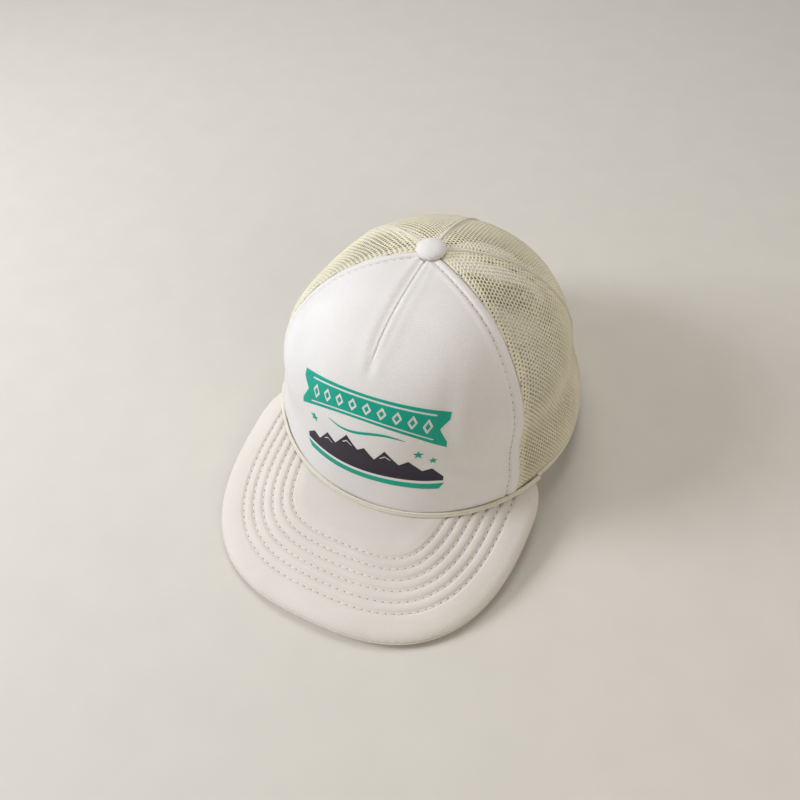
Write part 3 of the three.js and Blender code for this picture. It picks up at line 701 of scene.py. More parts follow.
cnt = []
for side, sg in (("left", 1), ("right", -1)):
    cnt.append(net(f"side_net_{side}", lambda q: seam(q) - 0.6, lambda q: SS + 0 * q, 88.0, sg, [f"side_mesh_{side}"]))
    cnt.append(net(f"rear_net_{side}", lambda q: SS + 0 * q, lambda q: 180.0 + 0 * q, 147.0, sg, [f"rear_mesh_{side}"], arch=True))
print("net faces", cnt)


# ----------------------------------------------------- seams between net panels
def prof_round(w, h, low=-0.5, n=14, power=2.3):
    a = np.arange(n) / n * 2 * np.pi
    x = np.sign(np.cos(a)) * np.abs(np.cos(a)) ** (2 / power) * w / 2
    y = np.sign(np.sin(a)) * np.abs(np.sin(a)) ** (2 / power)
    return np.stack([x, np.where(y > 0, y * h, y * abs(low))], -1)


def meridian(angle, t0, t1, n):
    tt = np.linspace(t0, t1, n)
    uu = u_at(angle, tt)
    for _ in range(3):
        ph = angle + 0 * uu
        uu = u_at(ph, tt)
    P, N = wall(ph, uu, 0 * uu), cnormal(ph, uu)
    Tn = unit(np.gradient(P, axis=0))
    return P, np.cross(Tn, N), N


T_ARCH = float(np.interp((ARCH_TOP + 1.0) / H, UT[180], TT))
for nm, ang, t0 in (("rear_left", SS, 0.02), ("rear_right", -SS, 0.02), ("center_back", 180.0, T_ARCH)):
    P, E, N = meridian(ang, t0, 0.985, 150)
    o = sweep(f"net_seam_{nm}", P, E, N, prof_round(2.1, 0.75), M_BIND)
    rows = [(P[3:-6] + E[3:-6] * k * 2.1 + N[3:-6] * 0.12, N[3:-6]) for k in (-1, 1)]
    o = stitch_rows(f"net_seam_stitches_{nm}", rows, M_THREAD, pitch=3.2, r=0.22)
    # tape behind the seam
    s, k = np.linspace(t0 + 0.03, 0.90, 90), np.linspace(-1, 1, 9)
    P, E, N = meridian(ang, t0 + 0.03, 0.90, 90)
    g = P[:, None] + E[:, None] * (k[None, :, None] * 4.5)
    hump = 0.15 * np.cos(k * np.pi)[None, :, None]
    out = g + N[:, None] * (-1.45 + 0 * hump)
    inn = g + N[:, None] * (-1.95 - hump)
    uvt = np.stack(np.meshgrid(np.linspace(0, 110, 90), k * 4.5, indexing="ij"), -1)
    o = shell(f"tape_{nm}", out, inn, M_TAPE, uv=uvt)
    fix_out(o)
    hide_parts(f"seam_tape_{nm}")
for nm, sg in (("left", 1), ("right", -1)):
    tt = np.linspace(0.05, 0.90, 90)
    ph = 60 + 0 * tt
    for _ in range(4):
        uu = u_at(ph, tt)
        ph = seam(uu)
    ph = ph * sg
    P, N = wall(ph, uu, 0 * uu), cnormal(ph, uu)
    E = np.cross(unit(np.gradient(P, axis=0)), N)
    k = np.linspace(-1, 1, 9)
    g = P[:, None] + E[:, None] * (k[None, :, None] * 4.5)
    uvt = np.stack(np.meshgrid(np.linspace(0, 130, 90), k * 4.5, indexing="ij"), -1)
    o = shell(f"tape_front_{nm}", g - N[:, None] * 1.45, g - N[:, None] * 2.0, M_TAPE, uv=uvt)
    fix_out(o)
    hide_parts(f"seam_tape_front_{nm}")


# ------------------------------------------------------------------------ visor
def visor_outline():
    cx, cy = (float(v) for v in base(PV))
    pts = []
    for i in range(24):
        q = i / 24
        bx, by = WV, 0.35 * YV + 0.65 * cy
        pts.append(((1 - q) ** 2 * cx + 2 * q * (1 - q) * bx + q * q * WV, (1 - q) ** 2 * cy + 2 * q * (1 - q) * by + q * q * YV))
    for i in range(181):
        a = math.pi / 2 * i / 180
        pts.append((WV * max(0, math.cos(a)) ** (2 / PW), YV - LV * math.sin(a) ** (2 / PW)))
    pts = np.array(pts)
    r = pts[:-1] * [-1, 1]
    P = np.concatenate([r, pts[::-1]])
    return P


def resample(P, n):
    d = np.concatenate([[0], np.cumsum(np.linalg.norm(np.diff(P, axis=0), axis=1))])
    q = np.linspace(0, d[-1], n)
    return np.stack([np.interp(q, d, P[:, k]) for k in range(P.shape[1])], -1)


OUT = resample(visor_outline(), 1201)
INN = resample(np.stack(base(np.linspace(-PV, PV, 801)), -1), 1201)
dO = np.gradient(OUT, axis=0)
INW = unit(np.stack([-dO[:, 1], dO[:, 0]], -1))


def rim_dist(x, y):
    P = np.stack([x.ravel(), y.ravel()], -1)
    best = np.full(len(P), 1e9)
    Q = OUT[::3]
    for i in range(0, len(P), 4000):
        d = np.linalg.norm(P[i:i + 4000, None] - Q[None], axis=-1)
        best[i:i + 4000] = d.min(1)
    return best.reshape(x.shape)


ROWS = [13.5, 19.3, 25.0, 30.7, 36.4, 42.1]
THICK = 7.3


def quilt(d, depth=1.0):
    """Height of the padded channels at distance d from the rim."""
    z = np.zeros_like(d)
    for r in ROWS:
        z -= 0.95 * np.exp(-((d - r) / 0.85) ** 2)
    inside = sm((d - ROWS[0]) / 1.5) * (1 - sm((d - ROWS[-1]) / 3))
    z += 0.35 * inside * (0.5 - 0.5 * np.cos((d - ROWS[0]) / 5.72 * 2 * np.pi))
    z += 0.35 * np.exp(-((d - 8.5) / 3.5) ** 2)
    z += 0.45 * np.exp(-((d - 47.5) / 3.2) ** 2)
    return z * depth


def rim_round(d, R=5.0):
    return np.where(d < R, 1 - np.sqrt(np.maximum(0, 1 - (1 - np.clip(d, 0, R) / R) ** 2)), 0)


def visor_noise(x, y):
    return 0.22 * np.sin(x / 19 + 0.4) * np.sin(y / 15) + 0.12 * np.sin(x / 7.3 + y / 9.1)


def visor_top(x, y, d):
    return vtop(x, y) + quilt(d) - 3.0 * rim_round(d) + visor_noise(x, y) * np.clip(d / 8, 0, 1)


def visor_low(x, y, d):
    return vtop(x, y) - THICK + 0.25 - quilt(d, 0.35) + 3.0 * rim_round(d)


ns = 470
ss = np.linspace(0.006, 0.994, ns)
io = ss * 1200
Oi = np.stack([np.interp(io, np.arange(1201), OUT[:, k]) for k in range(2)], -1)
Ii = np.stack([np.interp(io, np.arange(1201), INN[:, k]) for k in range(2)], -1) * (1 - 2.5 / B)
reach = np.linalg.norm(Oi - Ii, axis=1)
base_t = np.linspace(0, 1, 96)
tr = base_t[None] ** 1.0 * np.ones((ns, 1))
edge_mm = np.array([0, 0.15, 0.45, 0.9, 1.5, 2.3, 3.2, 4.2, 5.2])
et = np.minimum(edge_mm[None] / reach[:, None], np.linspace(0, 0.3, 9)[None])
rest = et[:, -1:] + (1 - et[:, -1:]) * np.linspace(0, 1, 88)[None, 1:]
tr = np.concatenate([et, rest], 1)
x = Oi[:, None, 0] + (Ii[:, None, 0] - Oi[:, None, 0]) * tr
y = Oi[:, None, 1] + (Ii[:, None, 1] - Oi[:, None, 1]) * tr
d = rim_dist(x, y)
d[:, 0] = 0
zt, zl = visor_top(x, y, d), visor_low(x, y, d)
# close the rim with one middle line, top and under cloth meet there in a seam
topg = np.stack([x, y, zt], -1)
lowg = np.stack([x, y, zl], -1)
ring = np.concatenate([topg[:, ::-1], lowg], 1)                # crown edge, rim, crown edge
nvv = ring.shape[1]
V = ring.reshape(-1, 3)
Q = quads(ns, nvv, closed_v=True)
e0 = np.arange(nvv)
half = nvv // 2
capq = []
for s0 in (0, (ns - 1) * nvv):
    for k in range(half - 1):
        capq.append([s0 + k, s0 + k + 1, s0 + nvv - 2 - k, s0 + nvv - 1 - k])
Q = np.concatenate([Q, np.array(capq)])
uvv = np.concatenate([np.stack([ring[..., 0], ring[..., 1]], -1).reshape(-1, 2)])
visor = make("visor_cloth", V, Q, mat=M_VISOR, uv=uvv)
fix_out(visor)
visor.data.materials.append(M_UNDER)
nrm = np.zeros(len(visor.data.polygons) * 3, np.float32)
visor.data.polygons.foreach_get("normal", nrm)
mi = (nrm.reshape(-1, 3)[:, 2] < -0.3).astype(np.int32)
visor.data.polygons.foreach_set("material_index", mi)
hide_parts("visor_top_cover", "visor_under_cover")

rows_t, rows_u = [], []
rr = np.hypot(1, 1)
for r in ROWS:
    P2 = OUT + INW * r
    dd = rim_dist(P2[:, 0], P2[:, 1])
    rho = np.hypot(P2[:, 0] / (B + 1.5), P2[:, 1] / (AF + 1.5))
    ok = (dd > r - 0.35) & (rho > 1) & (P2[:, 1] < -20)
    idx = np.flatnonzero(ok)
    if len(idx) < 10:
        continue
    seg = P2[idx[0]:idx[-1] + 1][ok[idx[0]:idx[-1] + 1]]
    x_, y_ = seg[:, 0], seg[:, 1]
    dz = np.full(len(x_), r)
    z = visor_top(x_, y_, dz) + 0.26
    Nn = unit(np.stack([-(vtop(x_ + .5, y_) - vtop(x_ - .5, y_)), -(vtop(x_, y_ + .5) - vtop(x_, y_ - .5)), np.ones_like(x_)], -1))
    rows_t.append((np.stack([x_, y_, z], -1), Nn))
    rows_u.append((np.stack([x_, y_, visor_low(x_, y_, dz) - 0.1], -1), -Nn))
o = stitch_rows("visor_stitches_top", rows_t, M_THREAD, pitch=4.2, share=0.66, r=0.42, holes=True)
o = stitch_rows("visor_stitches_under", rows_u, M_THREAD, pitch=4.5, share=0.7, r=0.32, holes=True)
# seam line where the two visor cloths meet along the rim
P = np.concatenate([OUT[12:-12:4], (vtop(OUT[:, 0], OUT[:, 1]) - 3.55)[12:-12:4, None]], 1)
Tn = unit(np.gradient(P, axis=0))
Zn = np.tile([0, 0, 1.0], (len(P), 1))
E = np.cross(Tn, Zn)
a = np.arange(10) / 10 * 2 * np.pi
o = sweep("visor_rim_seam", P, E, Zn, np.stack([np.cos(a) * 0.45, np.sin(a) * 0.8], -1), M_VISOR)

# ------------------------------------------------ piping between crown and visor
ph = np.linspace(-(PV + 1.0), PV + 1.0, 300)
bx, by = base(ph)
nx, ny = bx / B ** 2, by / AF ** 2
ln = np.hypot(nx, ny)
nx, ny = nx / ln, ny / ln
for k, (off, hz, rr_) in enumerate(((1.35, 1.15, 0.85), (0.85, 2.35, 0.75))):
    px, py = bx + nx * off, by + ny * off
    P = np.stack([px, py, vtop(px, py) + hz], -1)
    Tn = unit(np.gradient(P, axis=0))
    Nn = np.stack([nx, ny, 0 * nx], -1)
    E = np.cross(Tn, Nn)
    a = np.arange(12) / 12 * 2 * np.pi
    tw = 0.10 * np.sin(np.linspace(0, 300 * 0.9, 300)[:, None] + a[None] * 2)
    pr = np.stack([np.cos(a)[None] * (rr_ + tw * 0.6), np.sin(a)[None] * (rr_ + tw * 0.6)], -1)
    o = sweep(f"visor_piping_{k + 1}", P, Nn, E, pr, M_PIPE)
    if k == 0:
        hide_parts("visor_seam_piping")

# --------------------------------------------------------- bindings round the base
for side, sg in (("left", 1), ("right", -1)):
    ph = np.linspace(PV + 0.6, 147.4, 170)
    zb = zbase(ph)
    P = crown(ph, 0 * ph)
    N = cnormal(ph, 0 * ph + 0.01)
    N[:, 2] = 0
    N = unit(N)
    P[:, 2] = zb + 2.0
    P[:, 0] *= sg
    N[:, 0] *= sg
    Zv = np.tile([0, 0, 1.0], (len(P), 1))
    a = np.arange(18) / 18 * 2 * np.pi
    c, s_ = np.cos(a), np.sin(a)
    pr = np.stack([np.sign(c) * np.abs(c) ** 0.8 * 0.95 - 0.2, np.sign(s_) * np.abs(s_) ** 0.75 * 2.0], -1)
    pr[:, 0] += 0.25 * np.exp(-((pr[:, 1] + 1.2) / 0.7) ** 2) * (pr[:, 0] > 0)
    o = sweep(f"base_binding_cloth_{side}", P, N, Zv, pr, M_BIND)
    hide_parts(f"base_binding_{side}")
    o = stitch_rows(f"base_binding_stitches_{side}", [(P[2:-2] + N[2:-2] * 0.78 + Zv[2:-2] * 0.9, N[2:-2])], M_THREAD, pitch=3.4, r=0.24)

# rear opening binding
a = np.linspace(0.0, np.pi, 150)
ax = ARCH_HALF * np.sign(np.cos(a)) * np.abs(np.cos(a)) ** (2 / ARCH_POWER)
azz = np.maximum(ARCH_TOP * np.maximum(0, np.sin(a)) ** (2 / ARCH_POWER), 0.9)
pth = resample(np.stack([ax, azz], -1), 170)
pp, up_ = rear_phi(pth[:, 0], pth[:, 1])
pp = pp * np.sign(pth[:, 0] + 1e-9)
P = wall(pp, up_, 0 * up_ - 0.2)
N = cnormal(pp, np.maximum(up_, 0.01))
Tn = unit(np.gradient(P, axis=0))
E = unit(np.cross(Tn, N))
a = np.arange(18) / 18 * 2 * np.pi
c, s_ = np.cos(a), np.sin(a)
pr = np.stack([np.sign(c) * np.abs(c) ** 0.75 * 2.1, np.sign(s_) * np.abs(s_) ** 0.85 * 0.95], -1)
o = sweep("rear_opening_cloth", P, E, N, pr, M_BIND)
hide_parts("rear_opening_binding")
inward_sign = 1.0
o = stitch_rows("rear_opening_stitches", [(P + N * 0.85, N)], M_THREAD, pitch=3.4, r=0.24)

# ------------------------------------------------------------------- sweatband
ph = np.linspace(-147, 147, 360)
tt = np.linspace(0, 1, 26)
PH, TG = np.meshgrid(ph, tt, indexing="ij")
zb = np.maximum(0.9, zbase(PH) - 4)
Z = zb + 30 * TG
U = (Z - zbase(PH)) / (H - zbase(PH))
Pb = crown(PH, U)
Nb = cnormal(PH, np.maximum(0.01, U))
Nb[..., 2] = 0
Nb = unit(Nb)
Pb[..., 2] = Z
pucker = 0.22 * np.sin(np.radians(PH) * 46) * np.exp(-((1 - TG) / 0.25) ** 2) + 0.18 * np.sin(np.radians(PH) * 17 + 1)
groove = -0.4 * np.exp(-((TG - 0.93) / 0.02) ** 2) - 0.35 * np.exp(-((TG - 0.07) / 0.02) ** 2)
roll = 0.5 * (1 - np.clip(TG / 0.06, 0, 1)) ** 2
out = Pb + Nb * (-4.85)
inn = Pb + Nb * (-5.95 + groove * -1 + pucker * 0.5 + roll)[..., None]
uvb = np.stack([np.radians(PH) * 92, Z], -1)
o = shell("sweatband_cloth", out, inn, M_BAND, uv=uvb)
fix_out(o)
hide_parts("sweatband")
rows = [((Pb + Nb * (-6.0))[3:-3, k], -Nb[3:-3, k]) for k in (2, 24)]
o = stitch_rows("sweatband_stitches", rows, M_THREAD, pitch=3.6, r=0.26)

# care tab: a blank folded woven tab
PH, TG = np.meshgrid(np.linspace(126, 134, 24), np.linspace(0, 1, 36), indexing="ij")
Z = 18 + 20 * TG
U = (Z - zbase(PH)) / (H - zbase(PH))
Pl = crown(PH, U)
Nl = cnormal(PH, U)
Nl[..., 2] = 0
Nl = unit(Nl)
Pl[..., 2] = Z
curl = -6.75 - 1.1 * (1 - TG) ** 2 + 0.15 * np.sin(PH * 1.4)
o = shell("care_tab", Pl + Nl * curl[..., None], Pl + Nl * (curl - 0.35)[..., None], M_TAPE,
          uv=np.stack([PH * 1.6, Z], -1))
fix_out(o)
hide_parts("care_label")

# ------------------------------------------------------------------ snap straps
HX, ZL, ZH, ST = 22.4, 0.8, 18.8, 1.6
YIN, YOUT = 103.4, 105.35


def strap_path(y):
    pts = []
    for p in (137, 141, 145, 149):
        x0, y0 = (float(v) for v in base(p))
        l = math.hypot(x0 / B ** 2, y0 / AR ** 2)
        pts.append([x0 - x0 / B ** 2 / l * 2.3, y0 - y0 / AR ** 2 / l * 2.3])
    p1, p0 = pts[3], pts[2]
    k = (y - p1[1]) / (p1[1] - p0[1])
    cx = max(p1[0] + (p1[0] - p0[0]) * k, HX + 3)
    ex = HX + ST / 2 + 0.4
    for i in range(1, 17):
        q = i / 16
        pts.append([(1 - q) ** 2 * p1[0] + 2 * q * (1 - q) * cx + q * q * ex, (1 - q) ** 2 * p1[1] + 2 * q * (1 - q) * y + q * q * y])
    for xx in np.linspace(ex, -HX + 1.1, 40)[1:]:
        pts.append([xx, y])
    return np.array(pts)


def strap(name, y, k, nodes, holes):
    import bmesh
    path = strap_path(y)
    dl = np.concatenate([[0], np.cumsum(np.linalg.norm(np.diff(path, axis=0), axis=1))])
    total = dl[-1]
    zc, hh = (ZL + ZH) / 2, (ZH - ZL) / 2
    # length along the strap of a given straight X
    l_of = lambda xx: total - (xx - (-HX + 1.1))
    # flat blank: an outline with a round tip, thickened, edges eased
    tipr = hh * 0.7
    outline = [(0, -hh), (total - tipr, -hh)]
    outline += [(total - tipr + tipr * math.sin(b), -hh * math.cos(b)) for b in np.linspace(0.08, math.pi - 0.08, 24)]
    outline += [(total - tipr, hh), (0, hh)]
    bm = bmesh.new()
    vs = [bm.verts.new((p[0] * 1e-3, 0, p[1] * 1e-3)) for p in outline]
    f = bm.faces.new(vs)
    r = bmesh.ops.extrude_face_region(bm, geom=[f])
    for v in [g for g in r["geom"] if isinstance(g, bmesh.types.BMVert)]:
        v.co.y += ST * 1e-3
    bmesh.ops.translate(bm, verts=bm.verts, vec=(0, -ST / 2 * 1e-3, 0))
    bmesh.ops.recalc_face_normals(bm, faces=bm.faces)
    me = bpy.data.meshes.new(name)
    bm.to_mesh(me)
    bm.free()
    o = bpy.data.objects.new(name, me)
    bpy.context.collection.objects.link(o)
    spots = [l_of(((i - 1.5) * 9.5) * k if k > 0 else -((i - 1.5) * 9.5)) for i in range(4)]
    first = min(spots)
    spots += [first - 9.5 * (i + 1) for i in range(3)]
    tools = []

    def tool(r_, c, depth, off=0.0, verts=28):
        bpy.ops.mesh.primitive_cylinder_add(vertices=verts, radius=r_ * 1e-3, depth=depth * 1e-3, location=(c * 1e-3, off * 1e-3, 0), rotation=(math.pi / 2, 0, 0))
        t_ = bpy.context.object
        tools.append(t_)
        return t_

    def boolean(t_, op):
        md = o.modifiers.new("b", "BOOLEAN")
        md.operation, md.object, md.solver = op, t_, "EXACT"

    if holes:
        for c in spots:
            boolean(tool(2.6, c, 6), "DIFFERENCE")
    # cross cuts so that the blank can bend
    dg = bpy.context.evaluated_depsgraph_get()
    me2 = bpy.data.meshes.new_from_object(o.evaluated_get(dg))
    o.modifiers.clear()
    o.data = me2
    for t_ in tools:
        bpy.data.objects.remove(t_, do_unlink=True)
    bev = o.modifiers.new("bev", "BEVEL")
    bev.width, bev.segments, bev.limit_method, bev.angle_limit = 0.35e-3, 2, "ANGLE", math.radians(50)
    dg = bpy.context.evaluated_depsgraph_get()
    me3 = bpy.data.meshes.new_from_object(o.evaluated_get(dg))
    o.modifiers.clear()
    bm = bmesh.new()
    bm.from_mesh(me3)
    for c in np.arange(1.5, total - 1.0, 1.5):
        bmesh.ops.bisect_plane(bm, geom=bm.verts[:] + bm.edges[:] + bm.faces[:], plane_co=(c * 1e-3, 0, 0), plane_no=(1, 0, 0))
    if not holes:
        # each stud: a short stem with a round head, facing outward
        for c in spots:
            prof = [(1.75, ST / 2 - 0.1), (1.75, ST / 2 + 1.3), (2.05, ST / 2 + 1.75), (2.1, ST / 2 + 2.15), (1.85, ST / 2 + 2.55), (1.2, ST / 2 + 2.8), (0.5, ST / 2 + 2.88)]
            rings = []
            for pr_, ph_ in prof:
                rings.append([bm.verts.new(((c + pr_ * math.cos(b)) * 1e-3, ph_ * 1e-3, pr_ * math.sin(b) * 1e-3)) for b in np.arange(24) / 24 * 2 * math.pi])
            for q in range(len(rings) - 1):
                for j in range(24):
                    bm.faces.new((rings[q][j], rings[q][(j + 1) % 24], rings[q + 1][(j + 1) % 24], rings[q + 1][j]))
            bm.faces.new(rings[-1][::-1])
            bm.faces.new(rings[0])
    else:
        for c in spots:
            # a raised moulded ring round each hole
            rings = []
            for pr_, ph_ in ((2.62, ST / 2 - 0.1), (2.7, ST / 2 + 0.18), (3.1, ST / 2 + 0.24), (3.5, ST / 2 + 0.12), (3.65, ST / 2 - 0.1)):
                rings.append([bm.verts.new(((c + pr_ * math.cos(b)) * 1e-3, ph_ * 1e-3, pr_ * math.sin(b) * 1e-3)) for b in np.arange(28) / 28 * 2 * math.pi])
            for q in range(len(rings)):
                nq = (q + 1) % len(rings)
                for j in range(28):
                    bm.faces.new((rings[q][j], rings[q][(j + 1) % 28], rings[nq][(j + 1) % 28], rings[nq][j]))
    bmesh.ops.recalc_face_normals(bm, faces=bm.faces)
    me = bpy.data.meshes.new(name)
    bm.to_mesh(me)
    bm.free()
    co = np.zeros(len(me.vertices) * 3, np.float32)
    me.vertices.foreach_get("co", co)
    co = co.reshape(-1, 3).astype(float) * 1e3
    l, nrm_, z = co[:, 0], co[:, 1], co[:, 2] + zc
    px, py = np.interp(l, dl, path[:, 0]), np.interp(l, dl, path[:, 1])
    e = 0.8
    ddx = np.interp(l + e, dl, path[:, 0]) - np.interp(l - e, dl, path[:, 0])
    ddy = np.interp(l + e, dl, path[:, 1]) - np.interp(l - e, dl, path[:, 1])
    q = np.hypot(ddx, ddy)
    ox, oy = ddy / q, -ddx / q
    phb = 180 - np.degrees(np.arcsin(np.clip(np.abs(px) / B, 0, 1)))
    b0 = np.stack(base(phb), -1)
    cw = crown(phb, z / H)
    lean = sm((px - HX - 3) / 20) * ((b0[:, 0] - cw[:, 0]) * ox + (b0[:, 1] - cw[:, 1]) * oy)
    w = nrm_ - lean
    X = np.stack([k * (px + ox * w), py + oy * w, z], -1)
    X[:, 1] += OY
    me.vertices.foreach_set("co", (X * 1e-3).astype(np.float32).ravel())
    if k < 0:
        me.flip_normals()
    me.update()
    o.data = me
    me.materials.clear()
    me.materials.append(M_STRAP)
    for p in me.polygons:
        p.use_smooth = True
    try:
        me.set_sharp_from_angle(angle=math.radians(40))
    except Exception:
        pass
    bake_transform(o)
    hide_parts(*nodes)
    return o


strap("strap_with_holes", YOUT, 1, ["strap_holed_fixed", "strap_holed_free"], True)
strap("strap_with_studs", YIN, -1, ["strap_pegged_fixed", "strap_pegged_free"], False)

# ---------------------------------------------------------------- crown button
BZ = H + 0.4
a = np.linspace(0, np.pi / 2, 22)
rr_, hh_ = 7.9 * np.cos(a) ** 0.9, 0.7 + 3.9 * np.sin(a) ** 0.95
prof = np.concatenate([[[6.0, 0.05], [7.3, 0.0], [7.75, 0.25]], np.stack([rr_, hh_], -1)[:-1]])
na = 96
an = np.arange(na) / na * 2 * np.pi
V = []
for r_, h_ in prof:
    gather = 1 + 0.012 * np.sin(an * 14) * np.clip(1 - h_ / 2.5, 0, 1)
    V.append(np.stack([r_ * gather * np.cos(an), YT + r_ * gather * np.sin(an), BZ + h_ + 0.06 * np.sin(an * 3 + 1) * (h_ > 1) + 0 * an], -1))
V = np.concatenate(V + [np.array([[0, YT, BZ + 4.6], [0, YT, BZ + 0.1]])])
m = len(prof)
Q = quads(m, na, closed_v=True)
j = np.arange(na)
jn = (j + 1) % na
Tq = np.concatenate([np.stack([(m - 1) * na + j, (m - 1) * na + jn, np.full(na, m * na)], -1), np.stack([jn, j, np.full(na, m * na + 1)], -1)])
o = make("button_cloth", V, Q, Tq, mat=M_FACE, uv=V[:, :2])
fix_out(o)
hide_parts("button_cover")


# ----------------------------------------------------------------- printed front
def poly_sdf(X, Y, P):
    P = np.asarray(P, float)
    d = np.full(X.shape, 1e9)
    inside = np.zeros(X.shape, bool)
    n = len(P)
    for i in range(n):
        a_, b_ = P[i], P[(i + 1) % n]
        ex, ey = b_ - a_
        wx, wy = X - a_[0], Y - a_[1]
        q = np.clip((wx * ex + wy * ey) / (ex * ex + ey * ey + 1e-12), 0, 1)
        d = np.minimum(d, np.hypot(wx - ex * q, wy - ey * q))
        c = (a_[1] > Y) != (b_[1] > Y)
        with np.errstate(divide="ignore", invalid="ignore"):
            xi = (b_[0] - a_[0]) * (Y - a_[1]) / (b_[1] - a_[1] + 1e-12) + a_[0]
        inside ^= c & (X < xi)
    return np.where(inside, -d, d)


def star(cx, cy, r, rot=90.0, n=5, k=0.42):
    a_ = np.radians(rot + np.arange(2 * n) * 180 / n)
    rr2 = np.where(np.arange(2 * n) % 2 == 0, r, r * k)
    return np.stack([cx + rr2 * np.cos(a_), cy + rr2 * np.sin(a_)], -1)


def arc_band(cx, cy, r0, r1, a0, a1, n=60, notch=0):
    a_ = np.radians(np.linspace(a0, a1, n))
    o_ = np.stack([cx + r1 * np.cos(a_), cy + r1 * np.sin(a_)], -1)
    i_ = np.stack([cx + r0 * np.cos(a_[::-1]), cy + r0 * np.sin(a_[::-1])], -1)
    return np.concatenate([o_, i_])


def ink(name, f, mat, z0, x0, x1, y0, y1, off, step=0.42):
    """A printed layer: a thin film that follows the panel, cut where f(x, y) is below 0."""
    xs, ys = np.arange(x0, x1 + step, step), np.arange(y0, y1 + step, step)
    X, Y = np.meshgrid(xs, ys, indexing="ij")
    D = f(X, Y)
    gx, gy = np.gradient(D, step)
    g = np.hypot(gx, gy) + 1e-9
    mv = (D > 0) & (D < step * 1.45)
    Xm = np.where(mv, X - D * gx / g, X)
    Ym = np.where(mv, Y - D * gy / g, Y)
    ok = D < step * 1.45
    nx_, ny_ = X.shape
    q = quads(nx_, ny_)
    near = ok.ravel()[q].all(1)
    solid_ = (D.ravel()[q] <= 0).any(1)
    q = q[near & solid_]
    X2, Y2 = Xm.ravel(), Ym.ravel()
    # panel position: arc length across, height up
    u_ = np.clip((Y2 - 19) / (H - 19), 0.02, 0.97)
    ph_ = X2 / (B * 0.985) * 57.2958
    r_ = rdeg(ph_, u_)
    ph_ = X2 / np.maximum(rdeg(0 * ph_, u_), 0.2)
    t_ = np.interp(u_, UT[10], TT)
    bmp = front_bump(ph_, u_, t_)
    Vt = wall(ph_, u_, bmp + off)
    Vb = wall(ph_, u_, bmp - 0.12)
    used = np.unique(q)
    re = -np.ones(len(X2), int)
    re[used] = np.arange(len(used))
    q = re[q]
    n_ = len(used)
    # rim of the film
    ed = np.concatenate([q[:, [0, 1]], q[:, [1, 2]], q[:, [2, 3]], q[:, [3, 0]]])
    ks = ed[:, 0] * 10 ** 7 + ed[:, 1]
    kr = ed[:, 1] * 10 ** 7 + ed[:, 0]
    bd = ed[~np.isin(ks, kr)]
    side = np.stack([bd[:, 1], bd[:, 0], bd[:, 0] + n_, bd[:, 1] + n_], -1)
    V_ = np.concatenate([Vt[used], Vb[used]])
    o_ = make(name, V_, np.concatenate([q, q[:, ::-1] + n_, side]), mat=mat)
    return o_


# teal arched ribbon with swallow-tail ends, five-point stars, a stripe and a thin sweep
hills = np.array([(-37, 52), (-31, 58), (-27, 55.5), (-20, 66), (-15, 61.5), (-7, 73), (-1, 65), (3, 68.5), (8, 61), (14, 70), (21, 60), (26, 64), (33, 56.5), (38, 59), (44, 52), (44, 48.5), (-37, 48.5)])
stripe = [(-35, 42.6), (42, 42.6), (44.5, 46.2), (-37.5, 46.2)]
stars = [star(-29.5, 70.5, 2.9), star(31, 70.0, 2.9), star(38.5, 65.5, 2.3)]
RX = 3.0


def rib_top(X):
    return 98.5 - (X - RX) ** 2 / 300


def rib_low(X):
    return 86.0 - (X - RX) ** 2 / 145


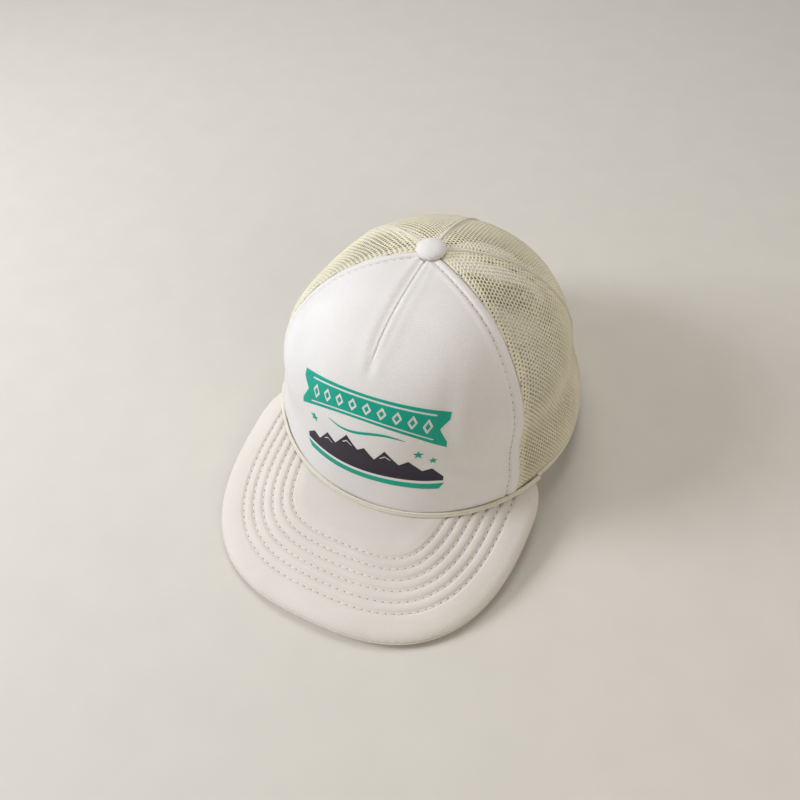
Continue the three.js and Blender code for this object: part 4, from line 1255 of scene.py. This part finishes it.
def f_ribbon(X, Y):
    """An arched ribbon that widens to both ends, with a row of diamonds left open in it."""
    top, low = rib_top(X), rib_low(X)
    half = 42.0
    D = np.maximum(np.maximum(Y - top, low - Y) * 0.97, np.abs(X - RX) - half)
    # swallow-tail ends
    midy = (top + low) / 2
    D = np.maximum(D, (np.abs(X - RX) - half + 4.5) - np.abs(Y - midy) * 0.75)
    # two thin rules and a row of diamonds, left as bare cloth
    v = (Y - low) / (top - low)
    h = top - low
    for q in (0.13, 0.87):
        D = np.maximum(D, -(np.maximum(np.abs(v - q) * h - 0.45, np.abs(X - RX) - half + 7.0)))
    for i in range(-4, 5):
        cx = RX + i * 7.8
        t_, l_ = rib_top(cx), rib_low(cx)
        cy, hh = (t_ + l_) / 2, (t_ - l_) * 0.26
        dm = (np.abs(X - cx) / 2.7 + np.abs(Y - cy) / hh - 1) * 1.9
        core = (np.abs(X - cx) / 1.2 + np.abs(Y - cy) / (hh * 0.45) - 1) * 0.9
        D = np.maximum(D, -np.maximum(dm, -core))
    return D


def f_teal(X, Y):
    D = f_ribbon(X, Y)
    for p in stars + [stripe]:
        D = np.minimum(D, poly_sdf(X, Y, p))
    # a thin sweep under the ribbon
    yc = 78.5 + 2.2 * np.sin((X - 2) / 7.5)
    w = 0.75 * np.clip(1 - ((X - 3) / 22) ** 2, 0, 1)
    D = np.minimum(D, np.where(np.abs(X - 3) < 22, np.abs(Y - yc) * 0.96 - w, 9.0))
    return D


def f_dark(X, Y):
    D = poly_sdf(X, Y, hills)
    # one bare chevron below each of the three summits
    for cx, cy in ((-7, 73), (14, 70), (-20, 66)):
        v = cy - 4.2 - np.abs(X - cx) * 0.85
        D = np.maximum(D, -np.maximum(np.abs(Y - v) * 0.76 - 0.42, np.abs(X - cx) - 2.9))
    return D


ink("print_dark", f_dark, M_DARK, 0, -44, 50, 40, 100, 0.16, step=0.3)
ink("print_teal", f_teal, M_TEAL, 0, -44, 50, 40, 100, 0.2, step=0.3)

# --------------------------------------------- carried-over pieces: their finishes
keep_mats = {"visor_foam": M_FOAM, "visor_board": M_BOARD, "button_shell": M_METAL, "button_prong": M_METAL, "button_washer": M_METAL}
for nm, mt in keep_mats.items():
    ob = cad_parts[nm]
    ob = ob if hasattr(ob, "data") else bpy.data.objects[nm]
    if len(ob.material_slots) == 0:
        ob.data.materials.append(mt)
    for sl in ob.material_slots:
        sl.material = mt
